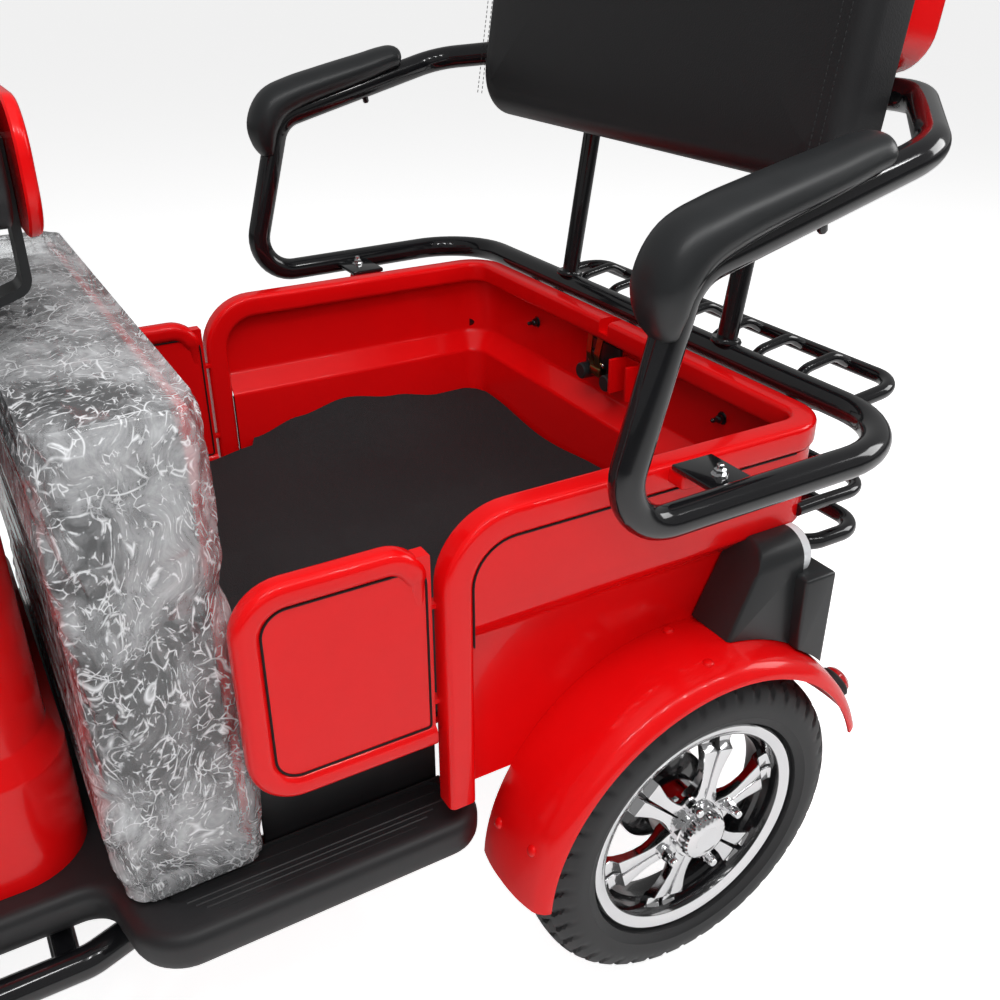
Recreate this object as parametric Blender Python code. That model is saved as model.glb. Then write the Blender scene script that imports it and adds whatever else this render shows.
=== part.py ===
"""A three-wheeled electric passenger cart: one steered wheel, a rider's seat and a tub for passengers.

Metres, +Z up, the ground at z = 0. The front faces -Y and the vehicle's left side is +X.
Every piece is drawn with the rear axle at y = 0 and then hung on the empty named vehicle,
which moves the whole so that its length is centred on the origin.
"""

import math

import bmesh
import bpy
from mathutils import Matrix, Vector

# Clearances
SEAT_GAP = 0.0003
RUN_GAP = 0.0006
MOVE_GAP = 0.0055

# Wheels
TYRE_RADIUS = 0.203
TYRE_WIDTH = 0.085
BEAD_RADIUS = 0.128
FLANGE_RADIUS = 0.1405
RIM_WIDTH = 0.065
RIM_WALL = 0.0065
SPOKES = 6
SPOKE_START = math.radians(15)
SPOKE_WIDTH = 0.042
SPOKE_THICKNESS = 0.016
HUB_RADIUS = 0.038
HUB_CAP_RADIUS = 0.031
HUB_CAP_REACH = 0.020
AXLE_RADIUS = 0.009
DRUM_RADIUS = 0.060
DRUM_WIDTH = 0.026
WHEELBASE = 1.700
WHEEL_SIDE_GAP = 0.010

# Passenger tub
TUB_HALF = 0.383
TUB_REAR = 0.190
TUB_FRONT = -0.285
TUB_TOP = 0.652
TUB_BOTTOM = 0.323
TUB_CORNER = 0.055
TUB_TUBE = 0.030
TUB_TUBE_EDGE = 0.005
TUB_TOP_BEND = 0.060
SHEET = 0.004
SWAGE = 0.0265
SWAGE_TOP = 0.534
SWAGE_LOW = 0.508
PANEL_STEP = 0.0025
TUB_FLOOR = 0.406
TUB_FLOOR_FRONT = -0.455
MAT_THICKNESS = 0.006
MAT_MARGIN = 0.006
NOTCH_WIDTH = 0.020
NOTCH_DEPTH = 0.018

# Side doors
DOOR_INSET = 0.013
DOOR_TUBE = 0.025
DOOR_TOP = 0.631
DOOR_BOTTOM = 0.400
DOOR_LENGTH = 0.185
DOOR_CORNER = 0.050
DOOR_PANEL_DEPTH = 0.005
PIN_RADIUS = 0.003
LUG_THICKNESS = 0.005
LUG_HEIGHTS = (0.45, 0.56)
LUG_SLOT = 0.012

# Chassis
RAIL_RADIUS = 0.016
RAIL_HALF = 0.300
REAR_RAIL_HALF = 0.250
CROSS_RADIUS = 0.013
FLOOR_TOP = 0.300
PAN_DEPTH = 0.050
PAN_HALF = 0.280
PAN_BEHIND_HUB = 0.300
BOARD_OVERHANG = 0.002
BOARD_FRONT = -0.590
BOARD_REAR = -0.240
BOARD_CORNER = 0.055
BOARD_WIDTH = 0.085
RISER_WALL = 0.006
CASTER = math.radians(24)
FORK_OFFSET = 0.030
HEAD_LOW = 0.400
HEAD_LENGTH = 0.140
HEAD_RADIUS = 0.024
STEM_RADIUS = 0.0165

# Fenders and lamps
FENDER_RADIUS = 0.2375
FENDER_CROWN = 0.006
FENDER_LIP = 0.024
FENDER_OVERHANG = 0.012
FENDER_WALL = 0.0025
FENDER_REAR_ANGLE = math.radians(20)
FENDER_FRONT_ANGLE = math.radians(177)
LAMP_HALF_WIDTH = 0.030
LAMP_REAR = 0.132
LAMP_TOP = 0.540
LAMP_FRONT_TOP = 0.078
LAMP_FRONT_LOW = 0.012
LENS_DEPTH = 0.012

# Rear axle and springs
AXLE_TUBE = 0.022
CASE_RADIUS = 0.070
CASE_WIDTH = 0.110
MOTOR_RADIUS = 0.058
MOTOR_LENGTH = 0.170
BACKING_RADIUS = 0.066
BACKING_WIDTH = 0.006
LEAF_WIDTH = 0.044
LEAF_THICKNESS = 0.014
LEAF_FRONT = -0.185
LEAF_REAR = 0.128
LEAF_EYE = 0.011

# Seats
BARREL_HALF = 0.250
BARREL_REAR = -0.605
BARREL_LENGTH = 0.380
BARREL_TOP = 0.700
BARREL_WALL = 0.005
BARREL_CORNER = 0.070
BARREL_SHOULDER = 0.012
BATTERY_SIDE_GAP = 0.075
BATTERY_END_GAP = 0.055
BATTERY_HEIGHT = 0.200
SHOULDER_HEIGHT = 0.120
LID_THICKNESS = 0.014
DRIVER_CUSHION = 0.085
DRIVER_HALF = 0.235
DRIVER_BACK_HALF = 0.215
DRIVER_BACK_OVER_BENCH = 0.0697
DRIVER_BACK_HEIGHT = 0.235
DRIVER_BACK_REAR = -0.530
DRIVER_BACK_DEPTH = 0.060
SHELL_WALL = 0.012
BENCH_SIDE_GAP = 0.035
BENCH_HEIGHT = 0.480
BENCH_BASE = 0.012
BENCH_CUSHION = 0.126

# Rest frame of the passenger seat
ARM_RADIUS = 0.016
ARM_OVERHANG = 0.085
ARM_LOW = 0.655
ARM_REAR = 0.211
ARM_FRONT = -0.172
ARM_FRONT_TOP = 0.852
ARM_REAR_TOP = 0.952
ARM_BEND = 0.050
ARM_REAR_BEND = 0.100
ARM_STRUT_RUN = 0.063
ARM_CORNER_CUT = 0.130
ARM_CORNER_BEND = 0.080
POST_HALF = 0.172
POST_WIDTH = 0.030
POST_DEPTH = 0.020
BACK_LEAN = math.radians(8.6)
BACK_HALF = 0.350
BACK_LOW = 0.870
BACK_HEIGHT = 0.330
BACK_THICKNESS = 0.085
BACK_CORNER = 0.060
BACK_SHELL_LOW = 0.985
BACK_SHELL_DEPTH = 0.048
BACK_SHELL_HALF = 0.335
PAD_WIDTH = 0.060
PAD_HEIGHT = 0.046
PAD_LENGTH = 0.200

# Rack and guard
RACK_RADIUS = 0.010
RACK_HALF = 0.315
RACK_REAR = 0.365
RACK_FRONT = 0.258
RACK_OVER_GUARD = 0.084
RACK_SLATS = 7
GUARD_OVERHANG = 0.002
GUARD_REAR = 0.265
GUARD_HEIGHTS = (0.548, 0.495)

# Front end
FORK_HALF = 0.076
FORK_RADIUS = 0.014
FORK_LENGTH = 0.360
CROWN_DEPTH = 0.026
FRONT_FENDER_HALF = 0.053
FRONT_FENDER_GAP = 0.026
FRONT_FENDER_SIDE = 0.045
FRONT_FENDER_ENDS = (math.radians(12), math.radians(150))
BAR_RADIUS = 0.011
BAR_REACH = 0.370
BAR_LEVEL = 0.800
GRIP_RADIUS = 0.016
GRIP_LENGTH = 0.115
MIRROR_HALF = 0.055
MIRROR_STALK = (0.090, -0.075, 0.125)
STALK_RADIUS = 0.005
LEVER_RADIUS = 0.0045
LAMP_RADIUS = 0.056
COWL_SECTIONS = (
    (0.045, 0.060, 0.030, 0.012),
    (0.015, 0.090, 0.052, 0.008),
    (-0.035, 0.098, 0.064, -0.002),
    (-0.085, 0.078, 0.062, -0.010),
    (-0.108, 0.066, 0.060, -0.014),
)
COWL_CORNER = 0.030
LEG_HALF = 0.230
LEG_WALL = 0.006

# Sizes that follow from those above
AXLE_Z = TYRE_RADIUS
PAN_FRONT = PAN_BEHIND_HUB - WHEELBASE
BOARD_HALF = TUB_HALF + BOARD_OVERHANG
BOARD_INNER = BOARD_HALF - BOARD_WIDTH
DOOR_OUTER = TUB_HALF - DOOR_INSET
ARM_HALF = TUB_HALF + ARM_OVERHANG
BENCH_HALF = DOOR_OUTER - DOOR_TUBE - BENCH_SIDE_GAP
DRIVER_BACK_LOW = FLOOR_TOP + SEAT_GAP + BENCH_HEIGHT + DRIVER_BACK_OVER_BENCH
DRIVER_BACK_HIGH = DRIVER_BACK_LOW + DRIVER_BACK_HEIGHT
GUARD_HALF = TUB_HALF + GUARD_OVERHANG
RACK_HEIGHT = GUARD_HEIGHTS[0] + RACK_OVER_GUARD
LOWER_HALF = TUB_HALF - PANEL_STEP - SWAGE
TRACK_HALF = LOWER_HALF + WHEEL_SIDE_GAP + TYRE_WIDTH / 2
RAIL_Z = FLOOR_TOP - PAN_DEPTH - SEAT_GAP - RAIL_RADIUS
FRONT_TUBE_RADIUS = RAIL_RADIUS * 1.15
FRONT_TUBE_Y = PAN_FRONT - FRONT_TUBE_RADIUS - 0.004
RAIL_END = TUB_REAR - PANEL_STEP - SWAGE - SHEET - 0.006
REAR_RAIL_Z = TUB_FLOOR - SHEET - SEAT_GAP - RAIL_RADIUS
REAR_AXLE_Y = (WHEELBASE + TYRE_RADIUS - RACK_REAR - RACK_RADIUS) / 2
STEER_UP = Vector((0, math.sin(CASTER), math.cos(CASTER)))
STEER_AHEAD = Vector((0, -math.cos(CASTER), math.sin(CASTER)))
FRONT_HUB = Vector((0, -WHEELBASE, AXLE_Z))
STEER_FOOT = FRONT_HUB - STEER_AHEAD * FORK_OFFSET
DOOR_HINGE_Y = TUB_FRONT - MOVE_GAP - DOOR_TUBE / 2
DOOR_HINGE_X = DOOR_OUTER - DOOR_TUBE / 2
BARREL_FRONT = BARREL_REAR - BARREL_LENGTH

ROUND = 8
WHEEL_STEPS = 28


def clear_scene():
    for item in list(bpy.data.objects):
        bpy.data.objects.remove(item, do_unlink=True)


def finish(name, colour, roughness, metallic=0.0, coat=0.0):
    """A plain painted, moulded or plated finish."""
    material = bpy.data.materials.new(name)
    material.use_nodes = True
    shader = material.node_tree.nodes["Principled BSDF"]
    shader.inputs["Base Color"].default_value = (*colour, 1.0)
    shader.inputs["Roughness"].default_value = roughness
    shader.inputs["Metallic"].default_value = metallic
    shader.inputs["Coat Weight"].default_value = coat
    return material


# Outlines and paths


def arc(centre, radius, start, end, steps):
    """Points on a flat arc, both ends included; angles in radians."""
    return [
        (
            centre[0] + radius * math.cos(start + (end - start) * i / steps),
            centre[1] + radius * math.sin(start + (end - start) * i / steps),
        )
        for i in range(steps + 1)
    ]


def fillet(points, radius, steps=3, closed=False):
    """The same route with its corners rounded; radius is one value or one for each point."""
    count = len(points)
    radii = radius if isinstance(radius, (list, tuple)) else [radius] * count
    route = []
    for i, point in enumerate(points):
        corner = Vector(point)
        if (not closed and i in (0, count - 1)) or radii[i] == 0:
            route.append(corner)
            continue
        before = Vector(points[i - 1]) - corner
        after = Vector(points[(i + 1) % count]) - corner
        opening = before.angle(after)
        if opening > math.radians(178):
            route.append(corner)
            continue
        longest = 0.48 * min(before.length, after.length)
        reach = min(radii[i] / math.tan(opening / 2), longest)
        bend = reach * math.tan(opening / 2)
        middle = (before.normalized() + after.normalized()).normalized()
        centre = corner + middle * (bend / math.sin(opening / 2))
        first = corner + before.normalized() * reach - centre
        last = corner + after.normalized() * reach - centre
        turn = first.angle(last)
        for k in range(steps + 1):
            share = k / steps
            mix = first * math.sin((1 - share) * turn) + last * math.sin(share * turn)
            route.append(centre + mix / math.sin(turn))
    return route


def circle(radius, sides=ROUND, squash=1.0):
    step = 2 * math.pi / sides
    return [(radius * math.cos(step * i), squash * radius * math.sin(step * i)) for i in range(sides)]


def square_section(side, edge):
    """A square tube's outline with its four edges rounded off."""
    half = side / 2
    corners = [(half, half), (-half, half), (-half, -half), (half, -half)]
    return [(p.x, p.y) for p in fillet([(x, y, 0) for x, y in corners], edge, 1, True)]


# Solids as bmesh


def skin(rings, closed_route=False, capped=True):
    """Faces between rings that have the same number of points."""
    shape = bmesh.new()
    rows = [[shape.verts.new(point) for point in ring] for ring in rings]
    sides = len(rows[0])
    pairs = list(zip(rows, rows[1:]))
    if closed_route:
        pairs.append((rows[-1], rows[0]))
    for low, high in pairs:
        for k in range(sides):
            after = (k + 1) % sides
            shape.faces.new((low[k], low[after], high[after], high[k]))
    if capped and not closed_route:
        shape.faces.new(rows[0][::-1])
        shape.faces.new(rows[-1])
    bmesh.ops.recalc_face_normals(shape, faces=shape.faces)
    return shape


def swept(route, section, closed=False, start=(1, 0, 0)):
    """A section carried along a route without twisting about it."""
    points = [Vector(p) for p in route]
    count = len(points)
    tangents = []
    for i in range(count):
        if closed:
            step = points[(i + 1) % count] - points[i - 1]
        else:
            step = points[min(i + 1, count - 1)] - points[max(i - 1, 0)]
        tangents.append(step.normalized())
    normal = Vector(start)
    if abs(normal.dot(tangents[0])) > 0.9:
        normal = Vector((0, 0, 1))
    normal = (normal - tangents[0] * normal.dot(tangents[0])).normalized()
    normals = [normal]
    for i in range(1, count):
        turn = tangents[i - 1].rotation_difference(tangents[i])
        normal = turn @ normals[-1]
        normal = (normal - tangents[i] * normal.dot(tangents[i])).normalized()
        normals.append(normal)
    if closed:
        final = tangents[-1].rotation_difference(tangents[0]) @ normals[-1]
        twist = math.atan2(final.cross(normals[0]).dot(tangents[0]), final.dot(normals[0]))
        for i in range(count):
            normals[i] = Matrix.Rotation(twist * i / count, 3, tangents[i]) @ normals[i]
    rings = []
    for i in range(count):
        side = tangents[i].cross(normals[i])
        stretch = 1.0
        if closed or 0 < i < count - 1:
            inward = points[i] - points[i - 1]
            stretch = 1.0 / max(0.5, math.cos(inward.angle(tangents[i], 0.0)))
        bend = Vector((0, 0, 0))
        if stretch > 1.00001:
            bend = (points[(i + 1) % count] + points[i - 1]) / 2 - points[i]
            bend = bend - tangents[i] * bend.dot(tangents[i])
            bend = bend.normalized() if bend.length > 1e-9 else Vector((0, 0, 0))
        ring = []
        for x, y in section:
            offset = normals[i] * x + side * y
            offset += bend * offset.dot(bend) * (stretch - 1.0)
            ring.append(points[i] + offset)
        rings.append(ring)
    return skin(rings, closed)


def tube(route, radius, closed=False, sides=ROUND, squash=1.0, start=(1, 0, 0)):
    return swept(route, circle(radius, sides, squash), closed, start)


def turned(profile, steps=WHEEL_STEPS, centre=(0, 0, 0), first=0.0, last=2 * math.pi):
    """A closed (x, radius) outline turned about the X axis through centre."""
    whole = abs(last - first - 2 * math.pi) < 1e-9
    rings = []
    for i in range(steps if whole else steps + 1):
        angle = first + (last - first) * i / steps
        across, up = math.cos(angle), math.sin(angle)
        rings.append([Vector(centre) + Vector((x, r * across, r * up)) for x, r in profile])
    return skin(rings, whole)


def cylinder(start, end, radius, sides=ROUND):
    start, end = Vector(start), Vector(end)
    upright = Vector((1, 0, 0)) if abs((end - start).normalized().x) < 0.9 else Vector((0, 1, 0))
    return tube([start, end], radius, sides=sides, start=upright)


def lathe(profile, start, direction, steps=18):
    """A solid turned about a line; profile is (distance, radius) with radii over zero."""
    start, direction = Vector(start), Vector(direction).normalized()
    across = direction.orthogonal().normalized()
    up = direction.cross(across)
    rings = []
    for distance, radius in profile:
        ring = []
        for i in range(steps):
            angle = 2 * math.pi * i / steps
            spoke = across * math.cos(angle) + up * math.sin(angle)
            ring.append(start + direction * distance + spoke * radius)
        rings.append(ring)
    return skin(rings)


def block(low, high, edge=0.0, steps=2):
    """A box between two corners with its edges rounded."""
    shape = bmesh.new()
    bmesh.ops.create_cube(shape, size=1.0)
    low, high = Vector(low), Vector(high)
    size = high - low
    for vertex in shape.verts:
        vertex.co = low + Vector(((vertex.co[k] + 0.5) * size[k] for k in range(3)))
    if edge:
        bmesh.ops.bevel(
            shape, geom=shape.edges[:], offset=edge, segments=steps, profile=0.5, affect="EDGES"
        )
    return shape


def plate(outline, low, high, edge=0.0, steps=2):
    """A flat (x, y) outline given thickness along Z, its top rim rounded."""
    shape = skin([[(x, y, low) for x, y in outline], [(x, y, high) for x, y in outline]])
    if edge:
        rim = [e for e in shape.edges if all(abs(v.co.z - high) < 1e-7 for v in e.verts)]
        bmesh.ops.bevel(shape, geom=rim, offset=edge, segments=steps, profile=0.5, affect="EDGES")
    return shape


def moved(shape, matrix):
    bmesh.ops.transform(shape, matrix=matrix, verts=shape.verts)
    if matrix.determinant() < 0:
        bmesh.ops.reverse_faces(shape, faces=shape.faces)
    return shape


def mirrored(shape):
    """A copy on the other side of the middle plane."""
    return moved(shape.copy(), Matrix.Diagonal((-1, 1, 1, 1)))


def both_sides(shape):
    return [shape, mirrored(shape)]


# Objects


def helper(shape):
    mesh = bpy.data.meshes.new("helper")
    shape.to_mesh(mesh)
    shape.free()
    item = bpy.data.objects.new("helper", mesh)
    bpy.context.scene.collection.objects.link(item)
    return item


def boolean(item, others, operation):
    """Joins or cuts with each helper in turn, and then drops the helpers."""
    for other in others:
        step = item.modifiers.new("step", "BOOLEAN")
        step.operation = operation
        step.solver = "EXACT"
        step.object = other
    bpy.context.view_layer.update()
    graph = bpy.context.evaluated_depsgraph_get()
    result = bpy.data.meshes.new_from_object(item.evaluated_get(graph))
    item.modifiers.clear()
    item.data = result
    for other in others:
        bpy.data.objects.remove(other, do_unlink=True)


def piece(name, material, carrier, add, cut=(), sharp=35):
    """One named solid from the shapes in add, less the shapes in cut, hung on its carrier."""
    item = helper(add[0])
    if len(add) > 1:
        boolean(item, [helper(shape) for shape in add[1:]], "UNION")
    if cut:
        boolean(item, [helper(shape) for shape in cut], "DIFFERENCE")
    item.name = name
    item.data.name = name
    item.data.materials.clear()
    item.data.materials.append(material)
    item.data.shade_smooth()
    item.data.set_sharp_from_angle(angle=math.radians(sharp))
    bpy.context.view_layer.update()
    item.data.transform(carrier["rest"].inverted())
    item.parent = carrier["empty"]
    return item


def carrier(name, parent=None, location=(0, 0, 0), rotation=None):
    """An empty that pieces hang on; rest is its place in the drawing frame."""
    empty = bpy.data.objects.new(name, None)
    bpy.context.scene.collection.objects.link(empty)
    rest = Matrix.Translation(location)
    if rotation is not None:
        rest = rest @ rotation
    local = rest
    if parent is not None:
        empty.parent = parent["empty"]
        local = parent["rest"].inverted() @ rest
    empty.matrix_local = local
    return {"empty": empty, "rest": rest}


# Wheels


def tyre_shape(centre):
    half, seat = TYRE_WIDTH / 2, RIM_WIDTH / 2 - RIM_WALL
    side = [
        (seat - SEAT_GAP, BEAD_RADIUS + SEAT_GAP),
        (seat - SEAT_GAP, FLANGE_RADIUS + SEAT_GAP * 2),
        (half * 0.86, FLANGE_RADIUS + 0.10 * (TYRE_RADIUS - FLANGE_RADIUS)),
        (half, FLANGE_RADIUS + 0.40 * (TYRE_RADIUS - FLANGE_RADIUS)),
        (half * 0.97, FLANGE_RADIUS + 0.66 * (TYRE_RADIUS - FLANGE_RADIUS)),
        (half * 0.82, FLANGE_RADIUS + 0.86 * (TYRE_RADIUS - FLANGE_RADIUS)),
        (half * 0.50, FLANGE_RADIUS + 0.975 * (TYRE_RADIUS - FLANGE_RADIUS)),
    ]
    outline = side + [(0.0, TYRE_RADIUS)] + [(-x, r) for x, r in reversed(side)]
    return turned(outline, centre=centre)


def rim_barrel(centre):
    half, seat = RIM_WIDTH / 2, RIM_WIDTH / 2 - RIM_WALL
    side = [
        (seat, BEAD_RADIUS),
        (seat + RIM_WALL * 0.4, FLANGE_RADIUS),
        (half, FLANGE_RADIUS),
        (half, BEAD_RADIUS + RIM_WALL * 0.7),
        (seat, BEAD_RADIUS - RIM_WALL),
    ]
    outline = side + [(-x, r) for x, r in reversed(side)]
    return turned(outline, centre=centre)


def spoke_shapes(centre):
    """Six spokes, each forked where it meets the rim, on the outer side of the wheel."""
    inner, outer = HUB_RADIUS * 0.8, BEAD_RADIUS - RIM_WALL * 0.5
    root, waist = SPOKE_WIDTH * 0.36, SPOKE_WIDTH * 0.25
    wide, narrow = SPOKE_WIDTH * 0.52, SPOKE_WIDTH * 0.17
    wide_end = math.sqrt(outer**2 - wide**2)
    narrow_end = math.sqrt(outer**2 - narrow**2)
    half = [
        (inner, root),
        (inner + (outer - inner) * 0.50, waist),
        (inner + (outer - inner) * 0.72, waist * 1.15),
        (wide_end, wide),
        (narrow_end, narrow),
        (inner + (outer - inner) * 0.74, SPOKE_WIDTH * 0.05),
    ]
    outline = [(r, -w) for r, w in half] + half[::-1]
    face = RIM_WIDTH / 2 - 0.004
    spokes = []
    for i in range(SPOKES):
        angle = SPOKE_START + 2 * math.pi * i / SPOKES
        turn = Matrix.Translation(centre) @ Matrix.Rotation(angle, 4, "X")
        rings = []
        for depth in (face - SPOKE_THICKNESS, face):
            rings.append([turn @ Vector((depth, r, w)) for r, w in outline])
        spokes.append(skin(rings))
    return spokes


def rim_shapes(centre, drum, bore_end):
    """What a wheel's casting is made of, and the bore that its axle runs in."""
    face = RIM_WIDTH / 2
    middle = Vector(centre)
    hub = [(-face, HUB_RADIUS), (face - 0.008, HUB_RADIUS), (face - 0.002, HUB_CAP_RADIUS)]
    hub += [(face + HUB_CAP_REACH - 0.004, HUB_CAP_RADIUS * 0.93)]
    hub += [(face + HUB_CAP_REACH, HUB_CAP_RADIUS * 0.72)]
    add = [rim_barrel(centre), lathe(hub, middle, (1, 0, 0))]
    add += spoke_shapes(centre)
    if drum:
        start = middle - Vector((face + DRUM_WIDTH, 0, 0))
        rings = [(0.0, DRUM_RADIUS * 0.95), (0.004, DRUM_RADIUS), (DRUM_WIDTH, DRUM_RADIUS)]
        add.append(lathe(rings + [(DRUM_WIDTH + 0.006, HUB_RADIUS)], start, (1, 0, 0)))
    first = middle - Vector((face + DRUM_WIDTH + 0.01, 0, 0))
    last = middle + Vector((bore_end, 0, 0))
    bore_radius = (AXLE_RADIUS + RUN_GAP) / math.cos(math.pi / ROUND)
    return add, [cylinder(first, last, bore_radius)]


def make_wheel(label, hub, tyre_finish, rim_finish, parent, drum, flip):
    """A tyre and its casting on an empty at the hub."""
    facing = Matrix.Rotation(math.pi if flip else 0.0, 4, "Z")
    pivot = carrier(label + "_wheel_hub", parent, hub)
    place = Matrix.Translation(hub) @ facing
    bore_end = RIM_WIDTH / 2 - 0.006 if drum else RIM_WIDTH / 2 + HUB_CAP_REACH + 0.01
    add, cut = rim_shapes((0, 0, 0), drum, bore_end)
    tyre = moved(tyre_shape((0, 0, 0)), place)
    piece("tyre_" + label, tyre_finish, pivot, [tyre])
    piece(
        "rim_" + label,
        rim_finish,
        pivot,
        [moved(shape, place) for shape in add],
        [moved(shape, place) for shape in cut],
    )


# Chassis


def axis_point(distance, ahead=0.0):
    """A point on the steering axis, counted up from its foot beside the front hub."""
    return STEER_FOOT + STEER_UP * distance + STEER_AHEAD * ahead


def rail_route():
    """The left rail: under the footwell, in behind the running board, and up under the tub."""
    kick = TUB_FLOOR_FRONT + 0.020
    front = FRONT_TUBE_Y
    return fillet(
        [
            (-0.010, front, RAIL_Z),
            (RAIL_HALF - 0.120, front, RAIL_Z),
            (RAIL_HALF, front + 0.120, RAIL_Z),
            (RAIL_HALF, BARREL_REAR - 0.030, RAIL_Z),
            (REAR_RAIL_HALF, kick - 0.060, RAIL_Z),
            (REAR_RAIL_HALF, kick + 0.020, RAIL_Z),
            (REAR_RAIL_HALF, kick + 0.120, REAR_RAIL_Z),
            (REAR_RAIL_HALF, RAIL_END, REAR_RAIL_Z),
        ],
        0.05,
    )


def spring_hanger(y):
    """The plates between a rear rail and one eye of a leaf spring."""
    eye_z = leaf_eye_height()
    low = (REAR_RAIL_HALF - LEAF_WIDTH / 2, y - 0.014, eye_z + LEAF_EYE + SEAT_GAP)
    high = (REAR_RAIL_HALF + LEAF_WIDTH / 2, y + 0.014, REAR_RAIL_Z)
    return block(low, high, 0.002, 1)


def leaf_eye_height():
    return (AXLE_Z + AXLE_TUBE + REAR_RAIL_Z - RAIL_RADIUS) / 2 + 0.012


def make_chassis(material, vehicle):
    rail = tube(rail_route(), RAIL_RADIUS)
    add = both_sides(rail)
    for y in (PAN_FRONT + 0.20, BARREL_FRONT + 0.10, BARREL_REAR - 0.05):
        add.append(cylinder((-RAIL_HALF, y, RAIL_Z), (RAIL_HALF, y, RAIL_Z), CROSS_RADIUS))
    for y in (-0.16, RAIL_END - 0.030):
        ends = (-REAR_RAIL_HALF, y, REAR_RAIL_Z), (REAR_RAIL_HALF, y, REAR_RAIL_Z)
        add.append(cylinder(*ends, CROSS_RADIUS))
    head_low, head_high = axis_point(HEAD_LOW), axis_point(HEAD_LOW + HEAD_LENGTH)
    foot = Vector((0, FRONT_TUBE_Y, RAIL_Z))
    knee = Vector((0, FRONT_TUBE_Y, FLOOR_TOP + 0.12))
    shoulder = axis_point(HEAD_LOW + HEAD_LENGTH * 0.35)
    add.append(tube(fillet([foot, knee, shoulder], 0.08), FRONT_TUBE_RADIUS))
    add.append(cylinder(head_low, head_high, HEAD_RADIUS, 16))
    for y in (LEAF_FRONT, LEAF_REAR):
        add += both_sides(spring_hanger(y))
    bore_ends = axis_point(HEAD_LOW - 0.01), axis_point(HEAD_LOW + HEAD_LENGTH + 0.01)
    bore = cylinder(*bore_ends, STEM_RADIUS + RUN_GAP, 16)
    piece("chassis_frame", material, vehicle, add, [bore])


def make_leaf_springs(material, vehicle):
    """A bowed pack of leaves on each side, hung from two eyes and seated on the axle."""
    eye_z = leaf_eye_height()
    seat_z = AXLE_Z + AXLE_TUBE + 0.008 + SEAT_GAP + LEAF_THICKNESS / 2
    route = []
    for i in range(9):
        share = -1 + i / 4
        y = -share * LEAF_FRONT if share < 0 else share * LEAF_REAR
        route.append((REAR_RAIL_HALF, y, seat_z + (eye_z - seat_z) * share * share))
    half, thick = LEAF_WIDTH / 2 - 0.002, LEAF_THICKNESS / 2
    section = [(half, thick), (-half, thick), (-half, -thick), (half, -thick)]
    leaf = swept(route, section)
    eyes = []
    for y in (LEAF_FRONT, LEAF_REAR):
        ends = (REAR_RAIL_HALF - half, y, eye_z), (REAR_RAIL_HALF + half, y, eye_z)
        eyes.append(cylinder(*ends, LEAF_EYE))
    left = [leaf] + eyes
    right = [mirrored(shape) for shape in left]
    piece("leaf_spring_left", material, vehicle, left)
    piece("leaf_spring_right", material, vehicle, right)


def make_rear_axle(material, vehicle):
    """The axle tube with its gear case, the drive motor ahead of it, and the brake plates."""
    plate_out = TRACK_HALF - RIM_WIDTH / 2 - DRUM_WIDTH - MOVE_GAP
    plate_in = plate_out - BACKING_WIDTH
    centre = Vector((0, 0, AXLE_Z))
    add = [cylinder((-plate_in - 0.001, 0, AXLE_Z), (plate_in + 0.001, 0, AXLE_Z), AXLE_TUBE, 18)]
    case = [(-CASE_WIDTH / 2, AXLE_TUBE * 1.2), (-CASE_WIDTH / 4, CASE_RADIUS)]
    case += [(CASE_WIDTH / 4, CASE_RADIUS), (CASE_WIDTH / 2, AXLE_TUBE * 1.2)]
    add.append(lathe(case, centre, (1, 0, 0)))
    motor = [(0.0, MOTOR_RADIUS * 0.8), (0.03, MOTOR_RADIUS), (MOTOR_LENGTH, MOTOR_RADIUS)]
    motor += [(MOTOR_LENGTH + 0.012, MOTOR_RADIUS * 0.7)]
    add.append(lathe(motor, centre + Vector((0, -CASE_RADIUS * 0.6, 0)), (0, -1, 0)))
    end = TRACK_HALF + RIM_WIDTH / 2 - 0.012
    for side in (1, -1):
        ends = (side * plate_in, 0, AXLE_Z), (side * plate_out, 0, AXLE_Z)
        add.append(cylinder(*ends, BACKING_RADIUS, 24))
        add.append(cylinder((side * plate_in, 0, AXLE_Z), (side * end, 0, AXLE_Z), AXLE_RADIUS))
        low = (side * REAR_RAIL_HALF - LEAF_WIDTH / 2, -0.035, AXLE_Z)
        high = (side * REAR_RAIL_HALF + LEAF_WIDTH / 2, 0.035, AXLE_Z + AXLE_TUBE + 0.008)
        add.append(block(low, high, 0.002, 1))
    piece("rear_axle", material, vehicle, add)


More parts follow.
